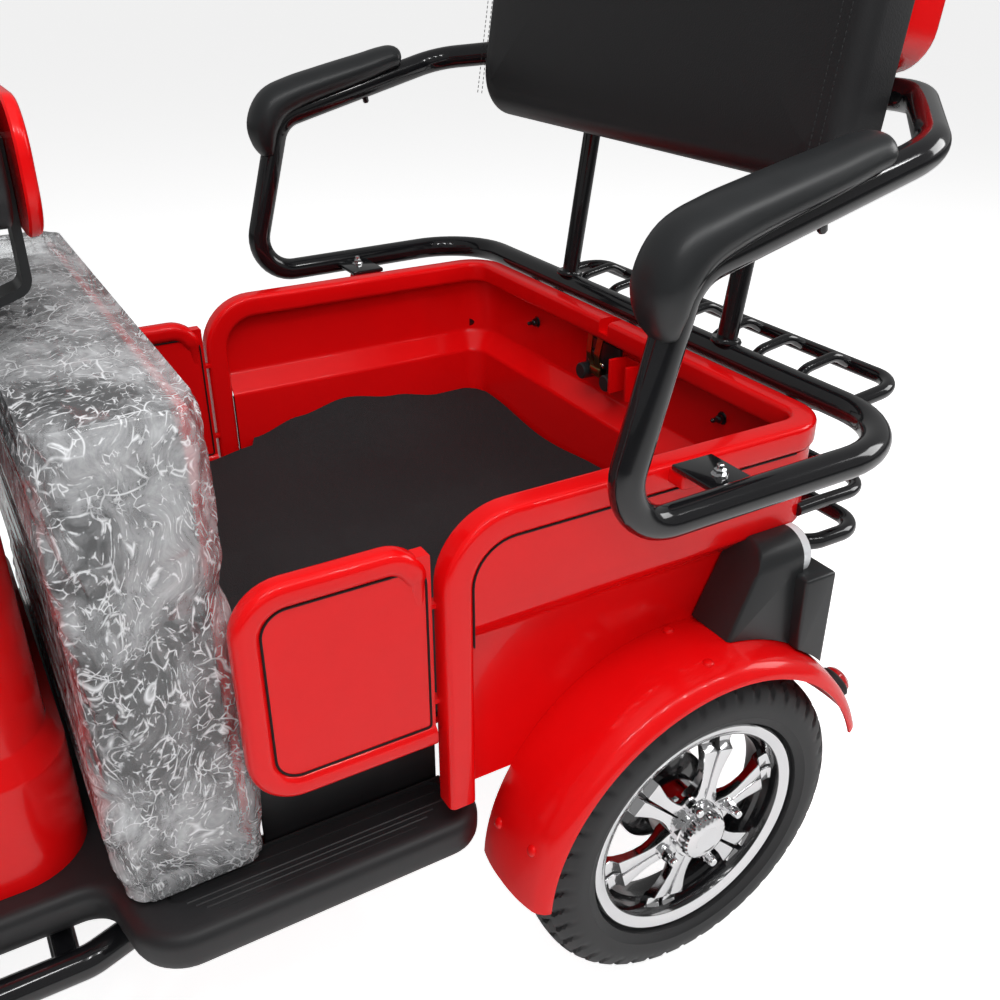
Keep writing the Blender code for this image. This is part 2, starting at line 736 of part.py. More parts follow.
def make_floor_pan(material, vehicle):
    """The moulded footwell with a running board on each side and an upstand under the tub."""
    half = [
        (0.0, PAN_FRONT),
        (PAN_HALF - 0.10, PAN_FRONT),
        (PAN_HALF, PAN_FRONT + 0.10),
        (PAN_HALF, BOARD_FRONT - 0.020),
        (BOARD_HALF, BOARD_FRONT),
        (BOARD_HALF, BOARD_REAR),
        (BOARD_INNER, BOARD_REAR),
        (BOARD_INNER, TUB_FLOOR_FRONT),
        (0.0, TUB_FLOOR_FRONT),
    ]
    bends = [0, 0.06, 0.06, 0.02, BOARD_CORNER, BOARD_CORNER, 0, 0, 0]
    flat = [(p.x, p.y) for p in fillet([(x, y, 0) for x, y in half], bends, 4)]
    outline = flat + [(-x, y) for x, y in reversed(flat[1:-1])]
    low, high = FLOOR_TOP - PAN_DEPTH, FLOOR_TOP
    pan = plate(outline, low, high, 0.008, 2)
    wall_top = TUB_FLOOR - SHEET - SEAT_GAP
    riser = block(
        (-BOARD_INNER + 0.02, TUB_FLOOR_FRONT - RISER_WALL - 0.001, high - 0.02),
        (BOARD_INNER - 0.02, TUB_FLOOR_FRONT - 0.001, wall_top),
    )
    shaft = block(
        (BOARD_INNER + 0.017, BOARD_FRONT + 0.05, high - 0.004),
        (BOARD_HALF - 0.020, BOARD_REAR - 0.06, high + 0.01),
    )
    piece("floor_pan", material, vehicle, [pan, riser], both_sides(shaft))


# Passenger tub


def tub_plan(half, rear, corner, front):
    """Points round the tub from its left front end to its right one, with outward normals."""
    points = [((half, front), (1.0, 0.0))]
    steps = 6
    for side, first in ((1, 0.0), (-1, math.pi / 2)):
        centre = (side * (half - corner), rear - corner)
        for i in range(steps + 1):
            angle = first + (math.pi / 2) * i / steps
            normal = (math.cos(angle), math.sin(angle))
            points.append(((centre[0] + corner * normal[0], centre[1] + corner * normal[1]), normal))
    points.append(((-half, front), (-1.0, 0.0)))
    return points


def make_tub(red, black, vehicle):
    """The pressed tub: walls with one swage all round, and a floor that runs on between the doors."""
    out = TUB_HALF - PANEL_STEP - LOWER_HALF
    top = TUB_TOP - TUB_TUBE - SEAT_GAP
    section = [
        (0.0, TUB_BOTTOM),
        (0.0, SWAGE_LOW),
        (out, SWAGE_TOP),
        (out, top),
        (out - SHEET, top),
        (out - SHEET, SWAGE_TOP + SHEET * 0.4),
        (-SHEET, SWAGE_LOW + SHEET * 0.4),
        (-SHEET, TUB_BOTTOM),
    ]
    front = TUB_FRONT + TUB_TUBE + SEAT_GAP
    rear = TUB_REAR - PANEL_STEP - out
    rings = []
    for (x, y), (nx, ny) in tub_plan(LOWER_HALF, rear, TUB_CORNER - out, front):
        rings.append([(x + nx * offset, y + ny * offset, z) for offset, z in section])
    wall = skin(rings)
    inner = LOWER_HALF - SHEET * 0.5
    tongue = DOOR_OUTER - DOOR_TUBE - MAT_MARGIN
    half = [
        (0.0, TUB_FLOOR_FRONT),
        (tongue, TUB_FLOOR_FRONT),
        (tongue, front + 0.001),
        (inner, front + 0.001),
        (inner, rear - SHEET * 0.5),
        (0.0, rear - SHEET * 0.5),
    ]
    bends = [0, 0.012, 0, 0, TUB_CORNER - out, 0]
    flat = [(p.x, p.y) for p in fillet([(x, y, 0) for x, y in half], bends, 6)]
    outline = flat + [(-x, y) for x, y in reversed(flat[1:-1])]
    floor = plate(outline, TUB_FLOOR - SHEET, TUB_FLOOR)
    lip = block(
        (-BOARD_INNER, TUB_FLOOR_FRONT, TUB_FLOOR - 0.030),
        (BOARD_INNER, TUB_FLOOR_FRONT + SHEET, TUB_FLOOR - SHEET / 2),
    )
    frame_space = swept(frame_route(), square_section(TUB_TUBE + 2 * SEAT_GAP, TUB_TUBE_EDGE))
    piece("tub_shell", red, vehicle, [wall, floor, lip], [frame_space])
    inset = SHEET + MAT_MARGIN
    half = [
        (0.0, TUB_FLOOR_FRONT + 0.002),
        (tongue - 0.002, TUB_FLOOR_FRONT + 0.002),
        (tongue - 0.002, front + 0.004),
        (LOWER_HALF - inset, front + 0.030),
        (LOWER_HALF - inset, rear - inset),
        (0.0, rear - inset),
    ]
    bends = [0, 0.012, 0.02, 0.02, TUB_CORNER - out, 0]
    flat = [(p.x, p.y) for p in fillet([(x, y, 0) for x, y in half], bends, 5)]
    outline = flat + [(-x, y) for x, y in reversed(flat[1:-1])]
    low = TUB_FLOOR + SEAT_GAP
    piece("floor_mat", black, vehicle, [plate(outline, low, low + MAT_THICKNESS)])


def frame_route():
    """Centre line of the tub's square tube: up a front post, round the rim, down the other post."""
    half, middle = TUB_HALF - TUB_TUBE / 2, TUB_TUBE / 2
    front, rear, top = TUB_FRONT + middle, TUB_REAR - middle, TUB_TOP - middle
    corners = [
        (half, front, TUB_BOTTOM),
        (half, front, top),
        (half, rear, top),
        (-half, rear, top),
        (-half, front, top),
        (-half, front, TUB_BOTTOM),
    ]
    plan_bend = TUB_CORNER - middle
    return fillet(corners, [0, TUB_TOP_BEND, plan_bend, plan_bend, TUB_TOP_BEND, 0], 5)


def hinge_lug(z):
    """A plate on the front post with the hole that a door's pin turns in."""
    half = DOOR_TUBE * 0.36
    reach = [(DOOR_HINGE_X + half, TUB_FRONT + 0.002)]
    reach += arc((DOOR_HINGE_X, DOOR_HINGE_Y), half, 0.0, -math.pi, 8)
    reach += [(DOOR_HINGE_X - half, TUB_FRONT + 0.002)]
    return plate(reach[::-1], z - LUG_THICKNESS / 2, z + LUG_THICKNESS / 2)


def make_tub_frame(material, vehicle):
    add = [swept(frame_route(), square_section(TUB_TUBE, TUB_TUBE_EDGE))]
    cut = []
    for z in LUG_HEIGHTS:
        add += both_sides(hinge_lug(z))
        low = (DOOR_HINGE_X, DOOR_HINGE_Y, z - 0.01)
        high = (DOOR_HINGE_X, DOOR_HINGE_Y, z + 0.01)
        cut += both_sides(cylinder(low, high, PIN_RADIUS + RUN_GAP, 12))
    tab_y = -0.045
    low = (TUB_HALF - 0.002, tab_y - 0.024, TUB_TOP - 0.018)
    high = (TUB_HALF + 0.022, tab_y + 0.024, TUB_TOP - 0.003)
    tab = block(low, high, 0.003, 2)
    add += both_sides(tab)
    notch = block(
        (-NOTCH_WIDTH, TUB_REAR - TUB_TUBE - 0.01, TUB_TOP - NOTCH_DEPTH),
        (0.0, TUB_REAR - 0.007, TUB_TOP + 0.01),
    )
    cut.append(notch)
    piece("tub_frame", material, vehicle, add, cut)


def make_latch(material, vehicle):
    """The spring catch in the rim's notch: a plate, a forked tongue and two knobs."""
    wall = TUB_REAR - PANEL_STEP - SHEET
    back = wall - SEAT_GAP
    top = TUB_TOP - TUB_TUBE - 0.001
    add = [block((-0.034, back - 0.005, top - 0.052), (0.014, back, top - 0.002), 0.0015, 1)]
    add.append(block((-0.020, back - 0.024, top - 0.038), (-0.002, back - 0.004, top - 0.004), 0.002, 1))
    for x in (-0.030, 0.010):
        add.append(cylinder((x, back - 0.018, top - 0.040), (x, back - 0.004, top - 0.040), 0.008))
    piece("tub_latch", material, vehicle, add)


# Doors


def door_shapes():
    """The left door: a tube frame with a panel set back on both faces, and its hinge pins."""
    front = DOOR_HINGE_Y - DOOR_LENGTH + DOOR_TUBE / 2
    rear = DOOR_HINGE_Y
    inner = DOOR_OUTER - DOOR_TUBE
    half = DOOR_TUBE / 2
    corners = [
        (DOOR_HINGE_X, rear, DOOR_BOTTOM + half),
        (DOOR_HINGE_X, front + half, DOOR_BOTTOM + half),
        (DOOR_HINGE_X, front + half, DOOR_TOP - half),
        (DOOR_HINGE_X, rear, DOOR_TOP - half),
    ]
    bend = DOOR_CORNER - half
    route = fillet(corners, [0.0, bend, bend, bend], 5, closed=True)
    ring = swept(route, square_section(DOOR_TUBE, DOOR_TUBE * 0.44), closed=True)
    panel = block(
        (inner + DOOR_PANEL_DEPTH, front + half, DOOR_BOTTOM + half),
        (DOOR_OUTER - DOOR_PANEL_DEPTH, rear, DOOR_TOP - half),
    )
    corner_cut = door_corner_waste(front, rear)
    ends = (DOOR_HINGE_X, rear, DOOR_BOTTOM + 0.001), (DOOR_HINGE_X, rear, DOOR_TOP - DOOR_CORNER)
    stile = cylinder(*ends, half, 20)
    slots = []
    pins = []
    for z in LUG_HEIGHTS:
        low = (DOOR_HINGE_X - half - 0.01, rear - half * 1.15, z - LUG_SLOT / 2)
        high = (DOOR_HINGE_X + half + 0.01, rear + half + 0.01, z + LUG_SLOT / 2)
        slots.append(block(low, high))
        ends = (DOOR_HINGE_X, rear, z - LUG_SLOT), (DOOR_HINGE_X, rear, z + LUG_SLOT)
        pins.append(cylinder(*ends, PIN_RADIUS, 12))
    return ring, panel, stile, corner_cut, slots, pins


def door_corner_waste(front, rear):
    """What the rounded corners leave off the panel: one block at each of three corners."""
    half = DOOR_TUBE / 2
    reach = (DOOR_CORNER - half) * 0.30
    waste = []
    for y, z in ((front + half, DOOR_BOTTOM + half), (front + half, DOOR_TOP - half), (rear, DOOR_TOP - half)):
        low = (DOOR_OUTER - DOOR_TUBE - 0.01, y - reach, z - reach)
        high = (DOOR_OUTER + 0.01, y + reach, z + reach)
        waste.append(block(low, high))
    return waste


def make_door(name, side, material, vehicle):
    pivot = carrier(name + "_hinge", vehicle, (side * DOOR_HINGE_X, DOOR_HINGE_Y, DOOR_BOTTOM))
    ring, panel, stile, waste, slots, pins = door_shapes()
    if side < 0:
        ring, panel, stile = mirrored(ring), mirrored(panel), mirrored(stile)
        waste = [mirrored(shape) for shape in waste]
        slots = [mirrored(shape) for shape in slots]
        pins = [mirrored(shape) for shape in pins]
    item = helper(panel)
    boolean(item, [helper(shape) for shape in waste], "DIFFERENCE")
    boolean(item, [helper(ring), helper(stile)], "UNION")
    boolean(item, [helper(shape) for shape in slots], "DIFFERENCE")
    shape = bmesh.new()
    shape.from_mesh(item.data)
    bpy.data.objects.remove(item, do_unlink=True)
    piece(name, material, pivot, [shape] + pins)


# Fenders and lamps


def fender_section(inner, outer, radius, crown, lip, overhang):
    """Outer then inner line of a rolled fender, as (x, radius)."""
    width = outer - inner
    line = [(inner, radius - crown)]
    for share, rise in ((0.2, 0.35), (0.45, 0.0), (0.7, 0.12), (0.86, 0.75)):
        line.append((inner + width * share, radius - crown * rise))
    line += [(outer, radius - crown * 1.9), (outer + overhang * 0.7, radius - lip * 0.62)]
    line += [(outer + overhang, radius - lip)]
    under = [(x - FENDER_WALL * 0.5, r - FENDER_WALL) for x, r in line[1:]]
    return line + under[::-1] + [(inner, radius - crown - FENDER_WALL)]


def make_rear_fender(name, side, material, vehicle):
    inner = LOWER_HALF + SEAT_GAP
    outer = TRACK_HALF + TYRE_WIDTH / 2 + 0.002
    section = fender_section(inner, outer, FENDER_RADIUS, FENDER_CROWN, FENDER_LIP, FENDER_OVERHANG)
    shape = turned(section, 20, (0, 0, AXLE_Z), FENDER_REAR_ANGLE, FENDER_FRONT_ANGLE)
    if side < 0:
        shape = mirrored(shape)
    piece(name, material, vehicle, [shape], sharp=50)


def tub_side_waste():
    """The space that the tub's side takes up, so that what stands beside it follows its swage."""
    low, high = LOWER_HALF + SEAT_GAP, TUB_HALF - PANEL_STEP + SEAT_GAP
    section = [(low - 0.05, 0.30), (low, 0.30), (low, SWAGE_LOW), (high, SWAGE_TOP), (high, 0.70)]
    section.append((low - 0.05, 0.70))
    return skin([[(x, y, z) for x, z in section] for y in (-0.06, TUB_REAR + 0.05)])


def make_lamp(side_name, side, black, lens, vehicle):
    """A lamp housing on the fender beside the tub, its lens facing rearwards."""
    low_x = LOWER_HALF + SEAT_GAP
    mid = low_x + LAMP_HALF_WIDTH
    foot = AXLE_Z + FENDER_RADIUS * 0.80
    crest = LAMP_TOP - LAMP_HALF_WIDTH
    front_out = low_x + 2 * LAMP_HALF_WIDTH + 0.006
    outline = [(low_x, foot), (front_out, foot)]
    outline += arc((mid, crest), LAMP_HALF_WIDTH, 0.0, math.pi, 8)
    rings = []
    for rear in (False, True):
        ring = []
        for x, z in outline:
            share = (z - foot) / (LAMP_TOP - foot)
            y = LAMP_FRONT_LOW + (LAMP_FRONT_TOP - LAMP_FRONT_LOW) * share
            ring.append((x, LAMP_REAR if rear else y, z))
        rings.append(ring)
    wedge = skin(rings)
    box_top = LAMP_TOP - 0.045
    box_rear = LAMP_REAR + 0.034
    box_ends = (low_x, LAMP_REAR - 0.01, foot - 0.03), (front_out + 0.014, box_rear, box_top)
    box = block(*box_ends, 0.004, 2)
    arch_low = LOWER_HALF - 0.01
    arch_high = TRACK_HALF + TYRE_WIDTH
    arch_radius = (FENDER_RADIUS + SEAT_GAP) / math.cos(math.pi / 48)
    arch = [(arch_low, arch_radius), (arch_high, arch_radius)]
    arch += [(arch_high, 0.05), (arch_low, 0.05)]
    under = turned(arch[::-1], 48, (0, 0, AXLE_Z))
    glass_rear = LAMP_REAR + LENS_DEPTH
    dome = []
    for y in (LAMP_REAR + SEAT_GAP, glass_rear):
        ring = [(mid + 0.8 * LAMP_HALF_WIDTH, y, box_top + SEAT_GAP)]
        ring += [(x, y, z) for x, z in arc((mid, crest), LAMP_HALF_WIDTH * 0.94, 0.0, math.pi, 8)]
        ring.append((mid - 0.8 * LAMP_HALF_WIDTH, y, box_top + SEAT_GAP))
        dome.append(ring)
    face_y = box_rear + SEAT_GAP
    strip_low = (low_x + 0.008, face_y, foot + 0.015)
    strip = block(strip_low, (front_out + 0.006, face_y + 0.008, box_top - 0.008), 0.002, 1)
    beside = tub_side_waste()
    shapes = {"housing": [wedge, box], "under": [under, beside], "dome": [skin(dome)]}
    shapes.update({"strip": [strip], "beside": [beside.copy()]})
    if side < 0:
        shapes = {key: [mirrored(shape) for shape in value] for key, value in shapes.items()}
    piece("lamp_housing_" + side_name, black, vehicle, shapes["housing"], shapes["under"])
    piece("turn_lens_" + side_name, lens["amber"], vehicle, shapes["dome"], shapes["beside"])
    piece("tail_lens_" + side_name, lens["red"], vehicle, shapes["strip"])


def make_reflector(side_name, side, material, vehicle):
    """A round reflector on the rear tip of a fender."""
    angle = FENDER_REAR_ANGLE + math.radians(6)
    out = Vector((0, math.cos(angle), math.sin(angle)))
    x = side * (TRACK_HALF + 0.006)
    start = Vector((x, 0, AXLE_Z)) + out * (FENDER_RADIUS + SEAT_GAP * 2)
    profile = [(0.0, 0.019), (0.011, 0.021), (0.016, 0.019), (0.019, 0.011)]
    piece("reflector_" + side_name, material, vehicle, [lathe(profile, start, out, 18)])


# Driver's seat


def ring_plan(half, front, rear, corner, steps=5):
    """A rounded rectangle in plan with outward normals."""
    points = []
    middle = (front + rear) / 2
    half_y = (rear - front) / 2
    for cx, cy, first in ((1, 1, 0.0), (-1, 1, 0.5), (-1, -1, 1.0), (1, -1, 1.5)):
        for i in range(steps + 1):
            angle = math.pi * (first + 0.5 * i / steps)
            normal = (math.cos(angle), math.sin(angle))
            centre = (cx * (half - corner), middle + cy * (half_y - corner))
            points.append(((centre[0] + corner * normal[0], centre[1] + corner * normal[1]), normal))
    return points


def make_barrel(material, vehicle):
    """The hollow seat box: a wider foot, a sloped shoulder and a flanged open top."""
    low = FLOOR_TOP + SEAT_GAP
    shoulder = low + SHOULDER_HEIGHT
    section = [
        (0.0, low),
        (0.0, shoulder),
        (-BARREL_SHOULDER, shoulder + 0.028),
        (-BARREL_SHOULDER, BARREL_TOP),
        (-BARREL_SHOULDER - 0.022, BARREL_TOP),
        (-BARREL_SHOULDER - 0.022, BARREL_TOP - BARREL_WALL),
        (-BARREL_SHOULDER - BARREL_WALL, BARREL_TOP - BARREL_WALL),
        (-BARREL_SHOULDER - BARREL_WALL, shoulder + 0.028),
        (-BARREL_WALL, shoulder),
        (-BARREL_WALL, low),
    ]
    rings = []
    for (x, y), (nx, ny) in ring_plan(BARREL_HALF, BARREL_FRONT, BARREL_REAR, BARREL_CORNER):
        rings.append([(x + nx * offset, y + ny * offset, z) for offset, z in section])
    piece("seat_barrel", material, vehicle, [skin(rings, closed_route=True)])


def make_battery(material, vehicle):
    half = BARREL_HALF - BARREL_WALL - BATTERY_SIDE_GAP
    low = (-half, BARREL_FRONT + BATTERY_END_GAP, FLOOR_TOP + SEAT_GAP)
    high = (half, BARREL_REAR - BATTERY_END_GAP, FLOOR_TOP + BATTERY_HEIGHT)
    piece("battery_block", material, vehicle, [block(low, high, 0.006, 1)])


def make_driver_seat(looks, vehicle):
    """The lid that carries the rider's cushion and back, hinged at the front of the seat box."""
    axis_y = BARREL_FRONT + BARREL_SHOULDER - 0.004
    lid_low = BARREL_TOP + SEAT_GAP
    pivot = carrier("driver_seat_hinge", vehicle, (0, axis_y, lid_low))
    lid_half = BARREL_HALF - BARREL_SHOULDER - 0.004
    corner = BARREL_CORNER - BARREL_SHOULDER
    front, rear = axis_y + 0.006, BARREL_REAR - BARREL_SHOULDER - 0.002
    outline = [p for p, _ in ring_plan(lid_half, front, rear, corner)]
    lid = plate(outline, lid_low, lid_low + LID_THICKNESS, 0.004, 2)
    lid_top = lid_low + LID_THICKNESS
    bench_front = TUB_FLOOR_FRONT - RISER_WALL - 0.002 - BENCH_BASE - SEAT_GAP - BENCH_CUSHION
    bar_low_y = bench_front - MOVE_GAP - 0.006
    bar_high_y = DRIVER_BACK_REAR - SHELL_WALL - SEAT_GAP - 0.004
    bars = []
    for side in (1, -1):
        route = fillet(
            [
                (side * 0.11, rear - 0.16, lid_top + 0.001),
                (side * 0.11, bar_low_y, lid_top + 0.001),
                (side * 0.11, bar_low_y, DRIVER_BACK_LOW - 0.036),
                (side * 0.11, bar_high_y, DRIVER_BACK_LOW - 0.014),
                (side * 0.11, bar_high_y, DRIVER_BACK_LOW + 0.12),
            ],
            0.014,
        )
        bars.append(swept(route, [(0.016, 0.004), (-0.016, 0.004), (-0.016, -0.004), (0.016, -0.004)]))
    piece("driver_seat_lid", looks["black"], pivot, [lid] + bars)
    low = lid_top + SEAT_GAP
    plan = [p for p, _ in ring_plan(DRIVER_HALF, front - 0.004, bar_low_y - 0.018, 0.060)]
    cushion = plate(plan, low, low + DRIVER_CUSHION, 0.026, 2)
    trench = []
    for x in (0.11, -0.11):
        trench.append(block((x - 0.018, rear - 0.18, low - 0.01), (x + 0.018, rear + 0.02, low + 0.006)))
    piece("driver_cushion", looks["leather"], pivot, [cushion], trench)
    back_half = DRIVER_BACK_HALF
    shell_y = DRIVER_BACK_REAR
    cushion_rear = bar_high_y - 0.004 - SEAT_GAP
    low, high = DRIVER_BACK_LOW, DRIVER_BACK_HIGH
    shell = back_panel(back_half, low, high, shell_y - SHELL_WALL, shell_y, 0.095, 0.006)
    piece("driver_back_shell", looks["red"], pivot, [shell])
    cushion_front = cushion_rear - DRIVER_BACK_DEPTH
    pad = back_panel(back_half - 0.008, low + 0.008, high - 0.008, cushion_front, cushion_rear, 0.090, 0.018)
    piece("driver_back_cushion", looks["leather"], pivot, [pad])
    return axis_y, lid_low


def back_panel(half, low, high, front, rear, corner, edge):
    """An upright rounded rectangle given thickness along Y."""
    middle = (low + high) / 2
    outline = [p for p, _ in ring_plan(half, low - middle, high - middle, corner)]
    shape = plate(outline, 0.0, rear - front, edge, 2)
    turn = Matrix.Translation((0, rear, middle)) @ Matrix.Rotation(math.pi / 2, 4, "X")
    return moved(shape, turn)


# Passenger bench, stood on edge in the footwell


def make_bench(looks, vehicle):
    low = FLOOR_TOP + SEAT_GAP
    rear = TUB_FLOOR_FRONT - RISER_WALL - 0.002
    base_front = rear - BENCH_BASE
    base = block((-BENCH_HALF, base_front, low), (BENCH_HALF, rear, low + BENCH_HEIGHT), 0.003, 1)
    piece("bench_base", looks["red"], vehicle, [base])
    front = base_front - SEAT_GAP - BENCH_CUSHION
    ends = (-BENCH_HALF, front, low), (BENCH_HALF, base_front - SEAT_GAP, low + BENCH_HEIGHT)
    cushion = block(*ends, 0.030, 3)
    piece("bench_cushion", looks["leather"], vehicle, [cushion])


# Rest frame, pads and backrest of the passenger seat


def back_point(height, depth=0.0):
    """A point on the leaning line of the backrest posts, in the middle plane."""
    rise = height - ARM_LOW
    return Vector((0, ARM_REAR + rise * math.tan(BACK_LEAN) + depth, height))


def arm_corners():
    """Corners of the rest frame's left half, from the low rear tube to the high rear tube."""
    high_rear = back_point(ARM_REAR_TOP + 0.01).y + POST_DEPTH / 2 + ARM_RADIUS
    return [
        (ARM_HALF, ARM_REAR, ARM_LOW),
        (ARM_HALF, ARM_FRONT, ARM_LOW - 0.006),
        (ARM_HALF, ARM_FRONT + ARM_STRUT_RUN, ARM_FRONT_TOP + 0.020),
        (ARM_HALF, high_rear - ARM_CORNER_CUT, ARM_REAR_TOP - 0.010),
        (ARM_HALF - ARM_CORNER_CUT, high_rear, ARM_REAR_TOP + 0.010),
    ]


def arm_route():
    left = arm_corners()
    right = [(-x, y, z) for x, y, z in reversed(left)]
    bends = [ARM_REAR_BEND, ARM_BEND, ARM_BEND * 0.9, ARM_CORNER_BEND, ARM_CORNER_BEND * 0.75]
    low, high = (0, ARM_REAR, ARM_LOW), (0, left[-1][1], left[-1][2])
    corners = [low] + left + [high] + right
    return fillet(corners, [0] + bends + [0] + bends[::-1], 4, closed=True)


def make_rest_frame(material, vehicle):
    add = [tube(arm_route(), ARM_RADIUS, closed=True)]
    top = BACK_LOW + BACK_HEIGHT - 0.05
    for side in (1, -1):
        foot, head = back_point(ARM_LOW), back_point(top)
        foot.x = head.x = side * POST_HALF
        section = circle(POST_WIDTH / 2, 12, POST_DEPTH / POST_WIDTH)
        add.append(swept([foot, head], section))
    tab_y = -0.045
    low = (TUB_HALF + 0.004, tab_y - 0.020, TUB_TOP - 0.003 + SEAT_GAP)
    high = (ARM_HALF - 0.004, tab_y + 0.020, TUB_TOP + 0.003)
    add += both_sides(block(low, high, 0.001, 1))
    piece("rest_frame", material, vehicle, add)


def make_arm_pad(name, side, material, vehicle):
    """A moulded pad over the front bend and top run of the rest frame."""
    corners = arm_corners()
    bend = Vector(corners[2])
    run = (Vector(corners[3]) - bend).normalized()
    lift = Vector((0, -run.z, run.y)) * (PAD_HEIGHT * 0.5 + ARM_RADIUS * 0.15)
    route = [
        bend + Vector((0, -0.026, -0.030)),
        bend + Vector((0, -0.024, 0.000)),
        bend + Vector((0, -0.008, 0.026)) + lift * 0.2,
        bend + run * 0.045 + lift,
        bend + run * 0.11 + lift,
        bend + run * 0.17 + lift,
        bend + run * (PAD_LENGTH - 0.010) + lift,
        bend + run * PAD_LENGTH + lift,
    ]
    scale = (0.55, 0.92, 1.05, 1.0, 0.92, 0.84, 0.72, 0.45)
    half_width, half_height = PAD_WIDTH / 2, PAD_HEIGHT / 2
    rings = []
    for i, point in enumerate(route):
        ahead = route[min(i + 1, len(route) - 1)] - route[max(i - 1, 0)]
        up = Vector((0, -ahead.z, ahead.y)).normalized()
        ring = []
        for x, y in circle(scale[i], 14):
            ring.append(point + Vector((x * half_width, 0, 0)) + up * (y * half_height))
        rings.append(ring)
    pad = skin(rings)
    groove = tube(arm_route(), ARM_RADIUS + SEAT_GAP, closed=True)
    if side < 0:
        pad = mirrored(pad)
    piece(name, material, vehicle, [pad], [groove], sharp=60)


def lean_matrix(height):
    """Turns an upright shape so that it leans back with the posts, about a line at this height."""
    foot = back_point(height)
    turn = Matrix.Rotation(-BACK_LEAN, 4, "X")
    return Matrix.Translation(foot) @ turn @ Matrix.Translation(-foot)


def make_backrest(looks, vehicle):
    face = back_point(BACK_LOW).y - POST_DEPTH / 2 - SEAT_GAP
    top = BACK_LOW + BACK_HEIGHT
    cushion = back_panel(BACK_HALF, BACK_LOW, top, face - BACK_THICKNESS, face, BACK_CORNER, 0.018)
    piece("backrest_cushion", looks["leather"], vehicle, [moved(cushion, lean_matrix(BACK_LOW))])
    front = face + SEAT_GAP * 2
    half, low, high = BACK_SHELL_HALF, BACK_SHELL_LOW, top - 0.006
    rear, wall = front + BACK_SHELL_DEPTH, 0.004
    outer = back_panel(half, low, high, front, rear, 0.045, 0.010)
    inner = back_panel(half - wall, low + wall, high - wall, front - 0.02, rear - wall, 0.041, 0.006)
    waste = [inner]
    for middle in (POST_HALF, -POST_HALF):
        slot = POST_WIDTH / 2 + SEAT_GAP * 1.2
        ends = (middle - slot, front - 0.02, low - 0.02), (middle + slot, front + POST_DEPTH + 0.006, low + 0.02)
        waste.append(block(*ends))
    lean = lean_matrix(BACK_LOW)
    waste = [moved(shape, lean) for shape in waste]
    piece("backrest_shell", looks["red"], vehicle, [moved(outer, lean)], waste)


# Rear rack and guard


def make_rack(material, vehicle):
    """A slatted shelf behind the tub with two guard bars below, on one pair of brackets."""
    loop = fillet(
        [
            (RACK_HALF, RACK_FRONT, RACK_HEIGHT - 0.012),
            (RACK_HALF, RACK_REAR, RACK_HEIGHT),
            (-RACK_HALF, RACK_REAR, RACK_HEIGHT),
            (-RACK_HALF, RACK_FRONT, RACK_HEIGHT - 0.012),
        ],
        0.035,
        closed=True,
    )
    add = [tube(loop, RACK_RADIUS, closed=True, sides=8)]
    for i in range(1, RACK_SLATS + 1):
        x = RACK_HALF * (2 * i / (RACK_SLATS + 1) - 1)
        low = RACK_HEIGHT - 0.012
        arch = [
            (x, RACK_FRONT, low),
            (x, RACK_FRONT + 0.03, low + 0.020),
            (x, RACK_REAR - 0.03, low + 0.028),
            (x, RACK_REAR, low + 0.012),
        ]
        add.append(tube(fillet(arch, 0.03, 2), RACK_RADIUS * 0.8, sides=6))
    wall = TUB_REAR + SEAT_GAP
    half = GUARD_HALF - RACK_RADIUS
    for z in GUARD_HEIGHTS:
        corners = [(half, wall + 0.012, z), (half, GUARD_REAR, z)]
        corners += [(-x, y, height) for x, y, height in reversed(corners)]
        add.append(tube(fillet(corners, 0.035), RACK_RADIUS, sides=8))
    for side in (1, -1):
        x = side * POST_HALF
        low, high = (x, GUARD_REAR, GUARD_HEIGHTS[1] - 0.02), (x, GUARD_REAR, RACK_HEIGHT - 0.006)
        add.append(cylinder(low, high, RACK_RADIUS * 1.23, 9))
        foot = TUB_REAR - PANEL_STEP - SWAGE + SEAT_GAP
        add.append(cylinder((x, foot, GUARD_HEIGHTS[1]), (x, GUARD_REAR, GUARD_HEIGHTS[1]), RACK_RADIUS * 0.83, 7))
    piece("rear_rack", material, vehicle, add)


# Steering


def fork_leg(side):
    foot = FRONT_HUB + Vector((side * FORK_HALF, 0, 0)) - STEER_UP * 0.022
    head = FRONT_HUB + Vector((side * FORK_HALF, 0, 0)) + STEER_UP * FORK_LENGTH
    half, slider = FORK_LENGTH * 0.52, FORK_RADIUS * 1.25
    profile = [(0.0, slider), (half, slider), (half + 0.006, FORK_RADIUS)]
    profile.append(((head - foot).length, FORK_RADIUS))
    return lathe(profile, foot, STEER_UP, 14)


def steer_block(distance, half_x, ahead, thickness, edge=0.006):
    """A yoke square to the steering axis."""
    shape = block((-half_x, -ahead[1], -thickness / 2), (half_x, -ahead[0], thickness / 2), edge, 2)
    turn = Matrix.Translation(axis_point(distance)) @ Matrix.Rotation(-CASTER, 4, "X")
    return moved(shape, turn)


def bar_points():
    clamp = axis_point(BAR_LEVEL)
    return [
        clamp,
        clamp + Vector((0.085, 0, 0.006)),
        clamp + Vector((BAR_REACH * 0.54, 0.052, 0.070)),
        clamp + Vector((BAR_REACH - GRIP_LENGTH - 0.01, 0.095, 0.080)),
        clamp + Vector((BAR_REACH, 0.150, 0.072)),
    ]


def bar_route():
    left = fillet(bar_points(), 0.05, 2)
    return [Vector((-p.x, p.y, p.z)) for p in reversed(left)] + left[1:]


